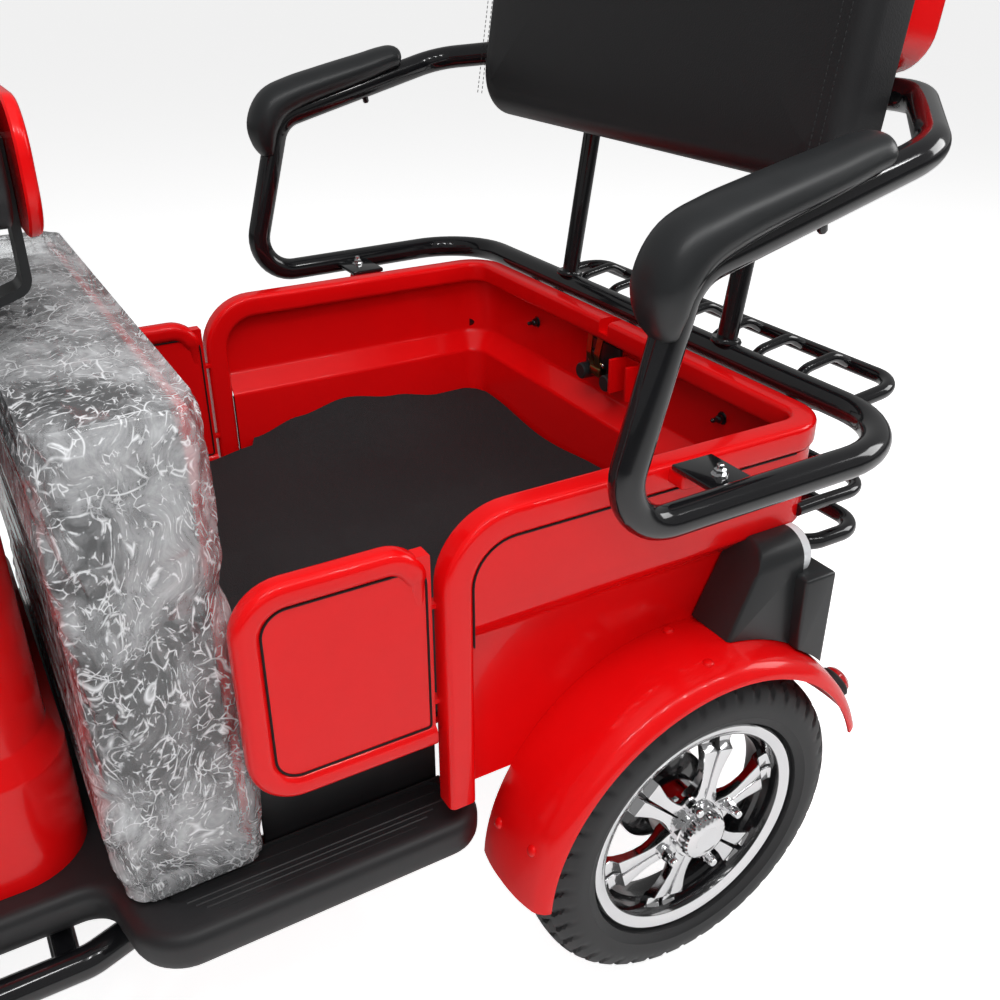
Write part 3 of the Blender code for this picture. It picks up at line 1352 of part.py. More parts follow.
def make_fork(material, pivot):
    add = [fork_leg(1), fork_leg(-1)]
    crown_half = FORK_HALF + FORK_RADIUS + 0.004
    add.append(steer_block(FORK_LENGTH, crown_half, (-0.022, FORK_OFFSET + 0.020), CROWN_DEPTH))
    stem_top = axis_point(BAR_LEVEL - BAR_RADIUS - 0.002)
    add.append(cylinder(axis_point(FORK_LENGTH), stem_top, STEM_RADIUS, 18))
    reach = FORK_HALF + FORK_RADIUS * 1.25 + 0.008
    add.append(cylinder(FRONT_HUB - Vector((reach, 0, 0)), FRONT_HUB + Vector((reach, 0, 0)), AXLE_RADIUS))
    lug = FRONT_HUB + STEER_UP * (TYRE_RADIUS - 0.006)
    low = lug + Vector((FRONT_FENDER_HALF + SEAT_GAP, -0.012, -0.010))
    high = lug + Vector((FORK_HALF, 0.012, 0.010))
    add += both_sides(block(low, high, 0.001, 1))
    piece("front_fork", material, pivot, add)


def make_front_fender(material, pivot):
    half, radius = FRONT_FENDER_HALF, TYRE_RADIUS + FRONT_FENDER_GAP
    line = [
        (half, radius - FRONT_FENDER_SIDE),
        (half, radius - FRONT_FENDER_SIDE * 0.45),
        (half * 0.86, radius - FRONT_FENDER_SIDE * 0.13),
        (half * 0.4, radius),
        (0, radius + 0.001),
    ]
    outer = line + [(-x, r) for x, r in reversed(line[:-1])]
    inner = []
    for x, r in reversed(outer):
        drop = FENDER_WALL if abs(x) < half * 0.99 else 0
        inner.append((x * (1 - FENDER_WALL / half), r - drop))
    shape = turned(outer + inner, 16, tuple(FRONT_HUB), *FRONT_FENDER_ENDS)
    piece("front_fender", material, pivot, [shape], sharp=50)


def make_handlebar(looks, pivot):
    route = bar_route()
    clamp = axis_point(BAR_LEVEL)
    add = [tube(route, BAR_RADIUS, sides=8)]
    clamp_low = axis_point(BAR_LEVEL - BAR_RADIUS - 0.0015)
    add.append(cylinder(clamp_low, axis_point(BAR_LEVEL + 0.014), STEM_RADIUS * 1.1, 16))
    points = bar_points()
    grip_start, grip_end = Vector(points[3]), Vector(points[4])
    run = (grip_end - grip_start).normalized()
    for side in (1, -1):
        boss = grip_start - run * 0.012
        boss = Vector((side * boss.x, boss.y, boss.z))
        add.append(cylinder(boss, boss + Vector((0, 0, 0.026)), 0.009, 10))
        lever = [
            boss + Vector((side * 0.004, -0.010, 0)),
            boss + Vector((side * 0.020, -0.042, -0.002)),
            boss + Vector((side * 0.125, -0.010, -0.004)),
        ]
        add.append(tube(fillet(lever, 0.02, 3), LEVER_RADIUS, sides=8))
    piece("handlebar", looks["tube"], pivot, add)
    for name, side in (("left", 1), ("right", -1)):
        start, end = grip_end - run * GRIP_LENGTH, grip_end + run * 0.004
        start.x, end.x = side * start.x, side * end.x
        sleeve = cylinder(start, end, GRIP_RADIUS, 16)
        bore = cylinder(start - (end - start) * 0.1, end + (end - start) * 0.1, BAR_RADIUS * 1.10, 12)
        piece("grip_" + name, looks["rubber"], pivot, [sleeve], [bore])
    return clamp


def make_nacelle(looks, pivot):
    """The cover over the middle of the handlebar, with the head lamp in its nose."""
    clamp = axis_point(BAR_LEVEL)
    rings = []
    for forward, half_x, half_z, rise in COWL_SECTIONS:
        ring = []
        for x, z in ring_points(half_x, half_z, COWL_CORNER):
            ring.append(clamp + Vector((x, forward, z + rise)))
        rings.append(ring)
    shell = skin(rings)
    bore = tube(bar_route(), BAR_RADIUS + SEAT_GAP * 2, sides=8)
    stem_ends = axis_point(BAR_LEVEL - 0.15), axis_point(BAR_LEVEL + 0.016)
    stem = cylinder(*stem_ends, STEM_RADIUS * 1.1 + SEAT_GAP, 16)
    piece("handlebar_cowl", looks["red"], pivot, [shell], [bore, stem])
    nose = COWL_SECTIONS[-1]
    front = clamp + Vector((0, nose[0] - SEAT_GAP, nose[3]))
    profile = [(0.0, LAMP_RADIUS * 0.98), (0.008, LAMP_RADIUS), (0.022, LAMP_RADIUS * 0.86), (0.030, LAMP_RADIUS * 0.5)]
    piece("headlight", looks["clear"], pivot, [lathe(profile, front, (0, -1, 0), 24)])


def ring_points(half_x, half_z, corner):
    return [p for p, _ in ring_plan(half_x, -half_z, half_z, corner, 3)]


def make_mirrors(looks, pivot):
    points = bar_points()
    run = (Vector(points[4]) - Vector(points[3])).normalized()
    for name, side in (("left", 1), ("right", -1)):
        boss = Vector(points[3]) - run * 0.012
        boss = Vector((side * boss.x, boss.y, boss.z + 0.026 + SEAT_GAP))
        head = boss + Vector((side * MIRROR_STALK[0], MIRROR_STALK[1], MIRROR_STALK[2]))
        stalk = tube(fillet([boss, boss + Vector((0, 0, 0.04)), head], 0.03, 4), STALK_RADIUS, sides=8)
        profile = [(0.0, 0.97), (0.005, 1.0), (0.014, 0.85), (0.020, 0.45)]
        profile = [(depth, MIRROR_HALF * share) for depth, share in profile]
        back = lathe(profile, head + Vector((0, 0.008, 0)), (0, -1, 0), 20)
        piece("mirror_" + name, looks["black"], pivot, [back, stalk])


# Front shield


def arc_shell(levels, wall, steps=8):
    """A curved upright sheet; each level is (z, y of the middle, half width, how far the sides lie back)."""
    rings = []
    for z, y, half, back in levels:
        outer, inner = [], []
        for i in range(steps + 1):
            share = -1 + 2 * i / steps
            outer.append((half * share, y + back * share * share, z))
            inner.append((half * share * (1 - wall / half * 0.2), y + wall + back * share * share, z))
        rings.append(outer + inner[::-1])
    return skin(rings)


def make_leg_shield(material, vehicle):
    """The rider's leg shield with a nose in front that covers the steering head."""
    low = FLOOR_TOP + SEAT_GAP
    base = PAN_FRONT + 0.004
    head = axis_point(HEAD_LOW + HEAD_LENGTH)
    top_z = head.z + 0.13
    top_y = head.y + 0.13 * math.tan(CASTER) + HEAD_RADIUS + 0.030
    shield = arc_shell(
        [
            (low, base, LEG_HALF * 0.86, 0.030),
            (low + 0.16, base, LEG_HALF * 0.98, 0.045),
            ((low + top_z) / 2 + 0.06, (base + top_y) / 2 - 0.006, LEG_HALF, 0.050),
            (top_z, top_y, LEG_HALF * 0.80, 0.040),
        ],
        LEG_WALL,
    )
    nose_low = axis_point(HEAD_LOW + 0.012)
    nose = arc_shell(
        [
            (nose_low.z, nose_low.y - HEAD_RADIUS - 0.030, 0.110, 0.198),
            (head.z, head.y - HEAD_RADIUS - 0.045, 0.130, 0.182),
            (top_z - 0.01, top_y - 0.115, 0.110, 0.134),
        ],
        LEG_WALL,
    )
    piece("leg_shield", material, vehicle, [shield, nose], sharp=50)


def build():
    clear_scene()
    looks = {
        "red": finish("gloss_red_paint", (0.72, 0.005, 0.004), 0.18, coat=0.6),
        "tube": finish("gloss_black_tube", (0.008, 0.008, 0.009), 0.16, coat=0.5),
        "black": finish("moulded_black", (0.014, 0.014, 0.015), 0.42),
        "leather": finish("black_leather", (0.016, 0.016, 0.017), 0.50),
        "rubber": finish("black_rubber", (0.020, 0.020, 0.020), 0.75),
        "alloy": finish("polished_alloy", (0.78, 0.78, 0.80), 0.16, 1.0),
        "iron": finish("dark_iron", (0.05, 0.05, 0.055), 0.45, 0.8),
        "clear": finish("clear_lens", (0.80, 0.82, 0.84), 0.08),
    }
    lens = {
        "amber": finish("amber_lens", (0.80, 0.55, 0.35), 0.12),
        "red": finish("red_lens", (0.55, 0.01, 0.01), 0.12),
    }
    vehicle = carrier("vehicle")
    make_chassis(looks["tube"], vehicle)
    make_leaf_springs(looks["iron"], vehicle)
    make_rear_axle(looks["iron"], vehicle)
    make_floor_pan(looks["black"], vehicle)
    make_tub(looks["red"], looks["rubber"], vehicle)
    make_tub_frame(looks["red"], vehicle)
    make_latch(looks["black"], vehicle)
    make_barrel(looks["red"], vehicle)
    make_battery(looks["iron"], vehicle)
    make_bench(looks, vehicle)
    make_rest_frame(looks["tube"], vehicle)
    make_backrest(looks, vehicle)
    make_rack(looks["tube"], vehicle)
    make_leg_shield(looks["red"], vehicle)
    make_driver_seat(looks, vehicle)
    for name, side in (("left", 1), ("right", -1)):
        make_rear_fender("rear_fender_" + name, side, looks["red"], vehicle)
        make_lamp(name, side, looks["black"], lens, vehicle)
        make_reflector(name, side, lens["red"], vehicle)
        make_arm_pad("arm_pad_" + name, side, looks["leather"], vehicle)
        make_door("door_" + name, side, looks["red"], vehicle)
        hub = Vector((side * TRACK_HALF, 0, AXLE_Z))
        make_wheel("rear_" + name, hub, looks["rubber"], looks["alloy"], vehicle, True, side < 0)
    steering = carrier("steering_axis", vehicle, STEER_FOOT, Matrix.Rotation(-CASTER, 4, "X"))
    make_fork(looks["tube"], steering)
    make_front_fender(looks["red"], steering)
    make_handlebar(looks, steering)
    make_nacelle(looks, steering)
    make_mirrors(looks, steering)
    make_wheel("front", FRONT_HUB, looks["rubber"], looks["alloy"], steering, False, False)
    vehicle["empty"].location = (0, REAR_AXLE_Y, 0)


build()
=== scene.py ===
# %% [markdown]
# # A three-wheeled electric passenger cart
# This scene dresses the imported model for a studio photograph. The camera looks down on the
# passengers' tub from the left front, as the reference picture does.
#
# Everything is drawn with the rear axle at y = 0 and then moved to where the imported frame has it.
# The front faces -Y, the vehicle's left side is +X, and the ground is at z = 0.

import math

import bmesh
import bpy
from mathutils import Matrix, Vector, noise


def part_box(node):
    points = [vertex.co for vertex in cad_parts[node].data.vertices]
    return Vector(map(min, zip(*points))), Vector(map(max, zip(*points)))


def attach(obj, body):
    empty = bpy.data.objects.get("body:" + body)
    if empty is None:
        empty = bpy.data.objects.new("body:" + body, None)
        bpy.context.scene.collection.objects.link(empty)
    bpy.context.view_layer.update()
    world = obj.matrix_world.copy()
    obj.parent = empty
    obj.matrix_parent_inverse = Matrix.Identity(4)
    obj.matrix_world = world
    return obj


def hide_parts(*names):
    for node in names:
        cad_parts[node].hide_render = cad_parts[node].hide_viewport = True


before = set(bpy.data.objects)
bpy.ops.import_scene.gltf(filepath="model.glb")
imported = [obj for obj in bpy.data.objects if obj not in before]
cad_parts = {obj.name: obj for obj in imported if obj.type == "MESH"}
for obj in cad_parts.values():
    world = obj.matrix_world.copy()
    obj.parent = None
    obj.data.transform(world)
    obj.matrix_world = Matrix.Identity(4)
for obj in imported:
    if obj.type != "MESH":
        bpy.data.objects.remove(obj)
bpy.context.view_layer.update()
wheel_low, wheel_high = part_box("tyre_rear_left")
SHIFT = Vector((0, (wheel_low.y + wheel_high.y) / 2, 0))

# %% [markdown]
# ## Drawing tools
# A route is a list of points, and a fillet rounds its corners. A sweep carries a section along
# a route without twisting. A skin joins rings of points that have the same count.

# %% Routes
def arc(centre, radius, start, end, steps):
    """Points on a flat arc; angles in radians."""
    return [
        (
            centre[0] + radius * math.cos(start + (end - start) * i / steps),
            centre[1] + radius * math.sin(start + (end - start) * i / steps),
        )
        for i in range(steps + 1)
    ]


def fillet(points, radius, steps=8, closed=False):
    """The same route with its corners rounded."""
    count = len(points)
    radii = radius if isinstance(radius, (list, tuple)) else [radius] * count
    route = []
    for i, point in enumerate(points):
        corner = Vector(point)
        if (not closed and i in (0, count - 1)) or radii[i] == 0:
            route.append(corner)
            continue
        before = Vector(points[i - 1]) - corner
        after = Vector(points[(i + 1) % count]) - corner
        opening = before.angle(after)
        if opening > math.radians(178):
            route.append(corner)
            continue
        reach = min(radii[i] / math.tan(opening / 2), 0.48 * min(before.length, after.length))
        bend = reach * math.tan(opening / 2)
        middle = (before.normalized() + after.normalized()).normalized()
        centre = corner + middle * (bend / math.sin(opening / 2))
        first = corner + before.normalized() * reach - centre
        last = corner + after.normalized() * reach - centre
        turn = first.angle(last)
        for k in range(steps + 1):
            share = k / steps
            mix = first * math.sin((1 - share) * turn) + last * math.sin(share * turn)
            route.append(centre + mix / math.sin(turn))
    return route


def flat_fillet(points, radius, steps=4, closed=True):
    """Rounds the corners of a flat outline."""
    raised = [(p[0], p[1], 0) for p in points]
    return [(p.x, p.y) for p in fillet(raised, radius, steps, closed)]


def circle(radius, sides=24, squash=1.0):
    step = 2 * math.pi / sides
    return [(radius * math.cos(step * i), squash * radius * math.sin(step * i)) for i in range(sides)]


def square_section(side, edge, steps=4):
    half = side / 2
    return flat_fillet([(half, half), (-half, half), (-half, -half), (half, -half)], edge, steps)


# %% [markdown]
# A tube or a moulding is a section carried along a route. Blender's curves can do this, but a
# sweep made from rings of points also lets a section change size on the way. The normal is
# passed on from ring to ring, which keeps the section from twisting at the bends.

# %% Skins and sweeps
def skin(rings, closed_route=False, capped=True):
    shape = bmesh.new()
    rows = [[shape.verts.new(point) for point in ring] for ring in rings]
    sides = len(rows[0])
    pairs = list(zip(rows, rows[1:]))
    if closed_route:
        pairs.append((rows[-1], rows[0]))
    for below, above in pairs:
        for k in range(sides):
            after = (k + 1) % sides
            shape.faces.new((below[k], below[after], above[after], above[k]))
    if capped and not closed_route:
        shape.faces.new(rows[0][::-1])
        shape.faces.new(rows[-1])
    bmesh.ops.recalc_face_normals(shape, faces=shape.faces)
    return shape


def swept(route, section, closed=False, start=(1, 0, 0), scale=None):
    """Carries a section along a route; scale, if given, resizes it at each point."""
    points = [Vector(p) for p in route]
    count = len(points)
    tangents = []
    for i in range(count):
        if closed:
            step = points[(i + 1) % count] - points[i - 1]
        else:
            step = points[min(i + 1, count - 1)] - points[max(i - 1, 0)]
        tangents.append(step.normalized())
    normal = Vector(start)
    if abs(normal.dot(tangents[0])) > 0.9:
        normal = Vector((0, 0, 1))
    normal = (normal - tangents[0] * normal.dot(tangents[0])).normalized()
    normals = [normal]
    for i in range(1, count):
        normal = tangents[i - 1].rotation_difference(tangents[i]) @ normals[-1]
        normals.append((normal - tangents[i] * normal.dot(tangents[i])).normalized())
    if closed:
        final = tangents[-1].rotation_difference(tangents[0]) @ normals[-1]
        twist = math.atan2(final.cross(normals[0]).dot(tangents[0]), final.dot(normals[0]))
        for i in range(count):
            normals[i] = Matrix.Rotation(twist * i / count, 3, tangents[i]) @ normals[i]
    rings = []
    for i in range(count):
        side = tangents[i].cross(normals[i])
        size = scale[i] if scale else 1.0
        rings.append([points[i] + (normals[i] * x + side * y) * size for x, y in section])
    return skin(rings, closed)


def tube(route, radius, closed=False, sides=24, squash=1.0, start=(1, 0, 0)):
    return swept(route, circle(radius, sides, squash), closed, start)


# %% [markdown]
# Wheels and fenders are turned: one outline is spun about an axis. Blocks are cubes with a
# bevel, and plates are flat outlines with a rolled rim. These few makers cover most pieces.

# %% Turned shapes, blocks and plates
def turned(profile, steps=96, centre=(0, 0, 0), first=0.0, last=2 * math.pi):
    """A closed (x, radius) outline turned about the X axis through centre."""
    whole = abs(last - first - 2 * math.pi) < 1e-9
    rings = []
    for i in range(steps if whole else steps + 1):
        angle = first + (last - first) * i / steps
        across, up = math.cos(angle), math.sin(angle)
        rings.append([Vector(centre) + Vector((x, r * across, r * up)) for x, r in profile])
    return skin(rings, whole)


def lathe(profile, start, direction, steps=40):
    start, direction = Vector(start), Vector(direction).normalized()
    across = direction.orthogonal().normalized()
    up = direction.cross(across)
    rings = []
    for distance, radius in profile:
        ring = []
        for i in range(steps):
            angle = 2 * math.pi * i / steps
            spoke = across * math.cos(angle) + up * math.sin(angle)
            ring.append(start + direction * distance + spoke * radius)
        rings.append(ring)
    return skin(rings)


def cylinder(start, end, radius, sides=24):
    length = (Vector(end) - Vector(start)).length
    return lathe([(0, radius), (length, radius)], start, Vector(end) - Vector(start), sides)


def pin(start, end, radius, edge=0.001, sides=24):
    """A short round bar with rounded ends."""
    length = (Vector(end) - Vector(start)).length
    rings = [(0, radius - edge), (edge, radius), (length - edge, radius), (length, radius - edge)]
    return lathe(rings, start, Vector(end) - Vector(start), sides)


def block(corner, opposite, edge=0.0, steps=3):
    shape = bmesh.new()
    bmesh.ops.create_cube(shape, size=1.0)
    corner, opposite = Vector(corner), Vector(opposite)
    size = opposite - corner
    for vertex in shape.verts:
        vertex.co = corner + Vector(((vertex.co[k] + 0.5) * size[k] for k in range(3)))
    if edge:
        bmesh.ops.bevel(
            shape, geom=shape.edges[:], offset=edge, segments=steps, profile=0.5, affect="EDGES"
        )
    return shape


def ring_plan(half, front, rear, corner, steps=10):
    """A rounded rectangle as points with outward normals."""
    points = []
    middle, half_y = (front + rear) / 2, (rear - front) / 2
    for cx, cy, first in ((1, 1, 0.0), (-1, 1, 0.5), (-1, -1, 1.0), (1, -1, 1.5)):
        for i in range(steps + 1):
            angle = math.pi * (first + 0.5 * i / steps)
            normal = (math.cos(angle), math.sin(angle))
            centre = (cx * (half - corner), middle + cy * (half_y - corner))
            points.append(((centre[0] + corner * normal[0], centre[1] + corner * normal[1]), normal))
    return points


def rounded_plate(outline, base, top, edge, steps=4):
    """A flat outline given thickness along Z, with its top rim rolled over."""
    count = len(outline)
    normals = []
    for i in range(count):
        before, after = Vector(outline[i - 1]), Vector(outline[(i + 1) % count])
        along = after - before
        normals.append(Vector((along.y, -along.x)).normalized() if along.length else Vector((0, 0)))
    area = sum(outline[i - 1][0] * outline[i][1] - outline[i][0] * outline[i - 1][1] for i in range(count))
    sign = 1 if area > 0 else -1
    rings = [[(x, y, base) for x, y in outline]]
    for i in range(steps + 1):
        angle = math.pi / 2 * i / steps
        inset, z = edge * (1 - math.cos(angle)), top - edge + edge * math.sin(angle)
        rings.append(
            [(p[0] - sign * n.x * inset, p[1] - sign * n.y * inset, z) for p, n in zip(outline, normals)]
        )
    return skin(rings)


def moved(shape, matrix):
    bmesh.ops.transform(shape, matrix=matrix, verts=shape.verts)
    if matrix.determinant() < 0:
        bmesh.ops.reverse_faces(shape, faces=shape.faces)
    return shape


def mirrored(shape):
    return moved(shape.copy(), Matrix.Diagonal((-1, 1, 1, 1)))


def both_sides(shape):
    return [shape, mirrored(shape)]


# %% [markdown]
# ## From shapes to pieces
# A piece is a joined mesh with one finish. It rides on a body of the imported frame, takes its
# finish from the table below, and may stand for some of the frame's own nodes.

# %% Making pieces
def joined(shapes):
    whole = bmesh.new()
    spare = bpy.data.meshes.new("spare")
    for shape in shapes:
        shape.to_mesh(spare)
        whole.from_mesh(spare)
        shape.free()
    bpy.data.meshes.remove(spare)
    return whole


def carved(shape, cutters):
    """The shape less the cutters."""
    items = []
    for part in [shape] + list(cutters):
        mesh = bpy.data.meshes.new("helper")
        part.to_mesh(mesh)
        part.free()
        item = bpy.data.objects.new("helper", mesh)
        bpy.context.scene.collection.objects.link(item)
        items.append(item)
    for cutter in items[1:]:
        step = items[0].modifiers.new("step", "BOOLEAN")
        step.operation = "DIFFERENCE"
        step.solver = "EXACT"
        step.object = cutter
    bpy.context.view_layer.update()
    graph = bpy.context.evaluated_depsgraph_get()
    result = bpy.data.meshes.new_from_object(items[0].evaluated_get(graph))
    for item in items:
        bpy.data.objects.remove(item, do_unlink=True)
    shape = bmesh.new()
    shape.from_mesh(result)
    bpy.data.meshes.remove(result)
    return shape


def piece(name, look, body, shapes, stands_for=(), sharp=35):
    whole = joined(shapes)
    bmesh.ops.translate(whole, vec=SHIFT, verts=whole.verts)
    mesh = bpy.data.meshes.new(name)
    whole.to_mesh(mesh)
    whole.free()
    mesh.materials.append(LOOKS[look])
    mesh.shade_smooth()
    mesh.set_sharp_from_angle(angle=math.radians(sharp))
    item = bpy.data.objects.new(name, mesh)
    bpy.context.scene.collection.objects.link(item)
    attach(item, body)
    if stands_for:
        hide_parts(*stands_for)
    return item


# %% [markdown]
# ## Finishes
# Each finish has a little procedural variation: its roughness wanders, its colour shifts
# slightly, and where it matters a fine bump catches the light.

# %% Finish maker
def surface(
    name, colour, rough, spread=0.05, metallic=0.0, coat=0.0, scale=30.0, tint=0.05, bump=0.0,
    grain=400.0, depth=0.0006, shine=0.5
):
    material = bpy.data.materials.new(name)
    material.use_nodes = True
    nodes, links = material.node_tree.nodes, material.node_tree.links
    shader = nodes["Principled BSDF"]
    shader.inputs["Metallic"].default_value = metallic
    shader.inputs["Coat Weight"].default_value = coat
    shader.inputs["Specular IOR Level"].default_value = shine
    shader.inputs["Coat Roughness"].default_value = 0.03
    place = nodes.new("ShaderNodeTexCoord")
    cloud = nodes.new("ShaderNodeTexNoise")
    cloud.inputs["Scale"].default_value = scale
    cloud.inputs["Detail"].default_value = 4.0
    links.new(place.outputs["Object"], cloud.inputs["Vector"])
    spread_map = nodes.new("ShaderNodeMapRange")
    spread_map.inputs["To Min"].default_value = max(rough - spread, 0.02)
    spread_map.inputs["To Max"].default_value = rough + spread
    links.new(cloud.outputs["Fac"], spread_map.inputs["Value"])
    links.new(spread_map.outputs["Result"], shader.inputs["Roughness"])
    mix = nodes.new("ShaderNodeMix")
    mix.data_type = "RGBA"
    mix.inputs["A"].default_value = (*[c * (1 - tint) for c in colour], 1)
    mix.inputs["B"].default_value = (*[min(c * (1 + tint), 1) for c in colour], 1)
    links.new(cloud.outputs["Fac"], mix.inputs["Factor"])
    links.new(mix.outputs["Result"], shader.inputs["Base Color"])
    if bump:
        fine = nodes.new("ShaderNodeTexNoise")
        fine.inputs["Scale"].default_value = grain
        fine.inputs["Detail"].default_value = 3.0
        links.new(place.outputs["Object"], fine.inputs["Vector"])
        lift = nodes.new("ShaderNodeBump")
        lift.inputs["Strength"].default_value = bump
        lift.inputs["Distance"].default_value = depth
        links.new(fine.outputs["Fac"], lift.inputs["Height"])
        links.new(lift.outputs["Normal"], shader.inputs["Normal"])
    return material


# %% [markdown]
# Leathercloth has a fine grain. Small Voronoi cells as a bump give it, which costs nothing in
# geometry and holds up from close by.

# %% Leathercloth
def leather(name, colour, rough, cell=520.0):
    """Grained leathercloth: fine cells over a soft cloud."""
    material = surface(name, colour, rough, 0.05, tint=0.15, scale=9.0)
    nodes, links = material.node_tree.nodes, material.node_tree.links
    place = nodes["Texture Coordinate"]
    cells = nodes.new("ShaderNodeTexVoronoi")
    cells.inputs["Scale"].default_value = cell
    links.new(place.outputs["Object"], cells.inputs["Vector"])
    lift = nodes.new("ShaderNodeBump")
    lift.inputs["Strength"].default_value = 0.25
    lift.inputs["Distance"].default_value = 0.0004
    links.new(cells.outputs["Distance"], lift.inputs["Height"])
    links.new(lift.outputs["Normal"], nodes["Principled BSDF"].inputs["Normal"])
    return material


# %% [markdown]
# Wrapping film is clear where it lies flat, milky where it is loose, and white along its creases.
# The edges of Voronoi cells at three scales give the creases, broken up by noise, and they mix a
# clear shader with a white one. A Fresnel term adds the glint.

# %% Film material
def film(name):
    """Thin crackled wrapping: a milky cloud under crisp white creases of three sizes."""
    material = bpy.data.materials.new(name)
    material.use_nodes = True
    nodes, links = material.node_tree.nodes, material.node_tree.links
    nodes.remove(nodes["Principled BSDF"])
    out = nodes["Material Output"]
    place = nodes.new("ShaderNodeTexCoord")
    bend = nodes.new("ShaderNodeTexNoise")
    bend.inputs["Scale"].default_value = 9.0
    links.new(place.outputs["Object"], bend.inputs["Vector"])
    warp = nodes.new("ShaderNodeMix")
    warp.data_type = "VECTOR"
    warp.inputs["Factor"].default_value = 0.12
    drawn = nodes.new("ShaderNodeMapping")
    drawn.inputs["Scale"].default_value = (1.0, 1.0, 0.55)
    links.new(place.outputs["Object"], drawn.inputs["Vector"])
    links.new(drawn.outputs["Vector"], warp.inputs["A"])
    links.new(bend.outputs["Color"], warp.inputs["B"])
    total = None
    for scale, width in ((30.0, 0.045), (64.0, 0.075), (130.0, 0.11)):
        cells = nodes.new("ShaderNodeTexVoronoi")
        cells.feature = "DISTANCE_TO_EDGE"
        cells.inputs["Scale"].default_value = scale
        links.new(warp.outputs["Result"], cells.inputs["Vector"])
        line = nodes.new("ShaderNodeMapRange")
        line.inputs["From Min"].default_value = width
        line.inputs["From Max"].default_value = 0.0
        links.new(cells.outputs["Distance"], line.inputs["Value"])
        broken = nodes.new("ShaderNodeTexNoise")
        broken.inputs["Scale"].default_value = scale * 0.9
        broken.inputs["Detail"].default_value = 3.0
        links.new(place.outputs["Object"], broken.inputs["Vector"])
        keep = nodes.new("ShaderNodeMapRange")
        keep.inputs["From Min"].default_value = 0.44
        keep.inputs["From Max"].default_value = 0.60
        links.new(broken.outputs["Fac"], keep.inputs["Value"])
        part = nodes.new("ShaderNodeMath")
        part.operation = "MULTIPLY"
        links.new(line.outputs["Result"], part.inputs[0])
        links.new(keep.outputs["Result"], part.inputs[1])
        if total is None:
            total = part
        else:
            more = nodes.new("ShaderNodeMath")
            more.operation = "MAXIMUM"
            links.new(total.outputs["Value"], more.inputs[0])
            links.new(part.outputs["Value"], more.inputs[1])
            total = more
    facets = nodes.new("ShaderNodeTexNoise")
    facets.inputs["Scale"].default_value = 11.0
    facets.inputs["Detail"].default_value = 8.0
    facets.inputs["Roughness"].default_value = 0.72
    links.new(warp.outputs["Result"], facets.inputs["Vector"])
    haze = nodes.new("ShaderNodeMapRange")
    haze.inputs["From Min"].default_value = 0.42
    haze.inputs["From Max"].default_value = 0.66
    haze.inputs["To Min"].default_value = 0.10
    haze.inputs["To Max"].default_value = 0.62
    links.new(facets.outputs["Fac"], haze.inputs["Value"])
    cover = nodes.new("ShaderNodeMath")
    cover.operation = "MAXIMUM"
    scaled = nodes.new("ShaderNodeMath")
    scaled.operation = "MULTIPLY"
    scaled.inputs[1].default_value = 0.92
    links.new(total.outputs["Value"], scaled.inputs[0])
    links.new(scaled.outputs["Value"], cover.inputs[0])
    links.new(haze.outputs["Result"], cover.inputs[1])
    ridge = nodes.new("ShaderNodeTexNoise")
    ridge.noise_type = "RIDGED_MULTIFRACTAL"
    ridge.inputs["Scale"].default_value = 22.0
    ridge.inputs["Detail"].default_value = 7.0
    links.new(warp.outputs["Result"], ridge.inputs["Vector"])
    lift = nodes.new("ShaderNodeBump")
    lift.inputs["Strength"].default_value = 1.0
    lift.inputs["Distance"].default_value = 0.006
    links.new(ridge.outputs["Fac"], lift.inputs["Height"])
    clear = nodes.new("ShaderNodeBsdfTransparent")
    clear.inputs["Color"].default_value = (0.97, 0.98, 0.985, 1)
    glint = nodes.new("ShaderNodeBsdfAnisotropic")
    glint.inputs["Color"].default_value = (1, 1, 1, 1)
    glint.inputs["Roughness"].default_value = 0.10
    links.new(lift.outputs["Normal"], glint.inputs["Normal"])
    milk = nodes.new("ShaderNodeBsdfDiffuse")
    milk.inputs["Color"].default_value = (0.88, 0.89, 0.91, 1)
    first = nodes.new("ShaderNodeMixShader")
    links.new(cover.outputs["Value"], first.inputs["Fac"])
    links.new(clear.outputs[0], first.inputs[1])
    links.new(milk.outputs[0], first.inputs[2])
    edge = nodes.new("ShaderNodeFresnel")
    edge.inputs["IOR"].default_value = 1.5
    links.new(lift.outputs["Normal"], edge.inputs["Normal"])
    second = nodes.new("ShaderNodeMixShader")
    links.new(edge.outputs["Fac"], second.inputs["Fac"])
    links.new(first.outputs[0], second.inputs[1])
    links.new(glint.outputs[0], second.inputs[2])
    links.new(second.outputs[0], out.inputs["Surface"])
    return material
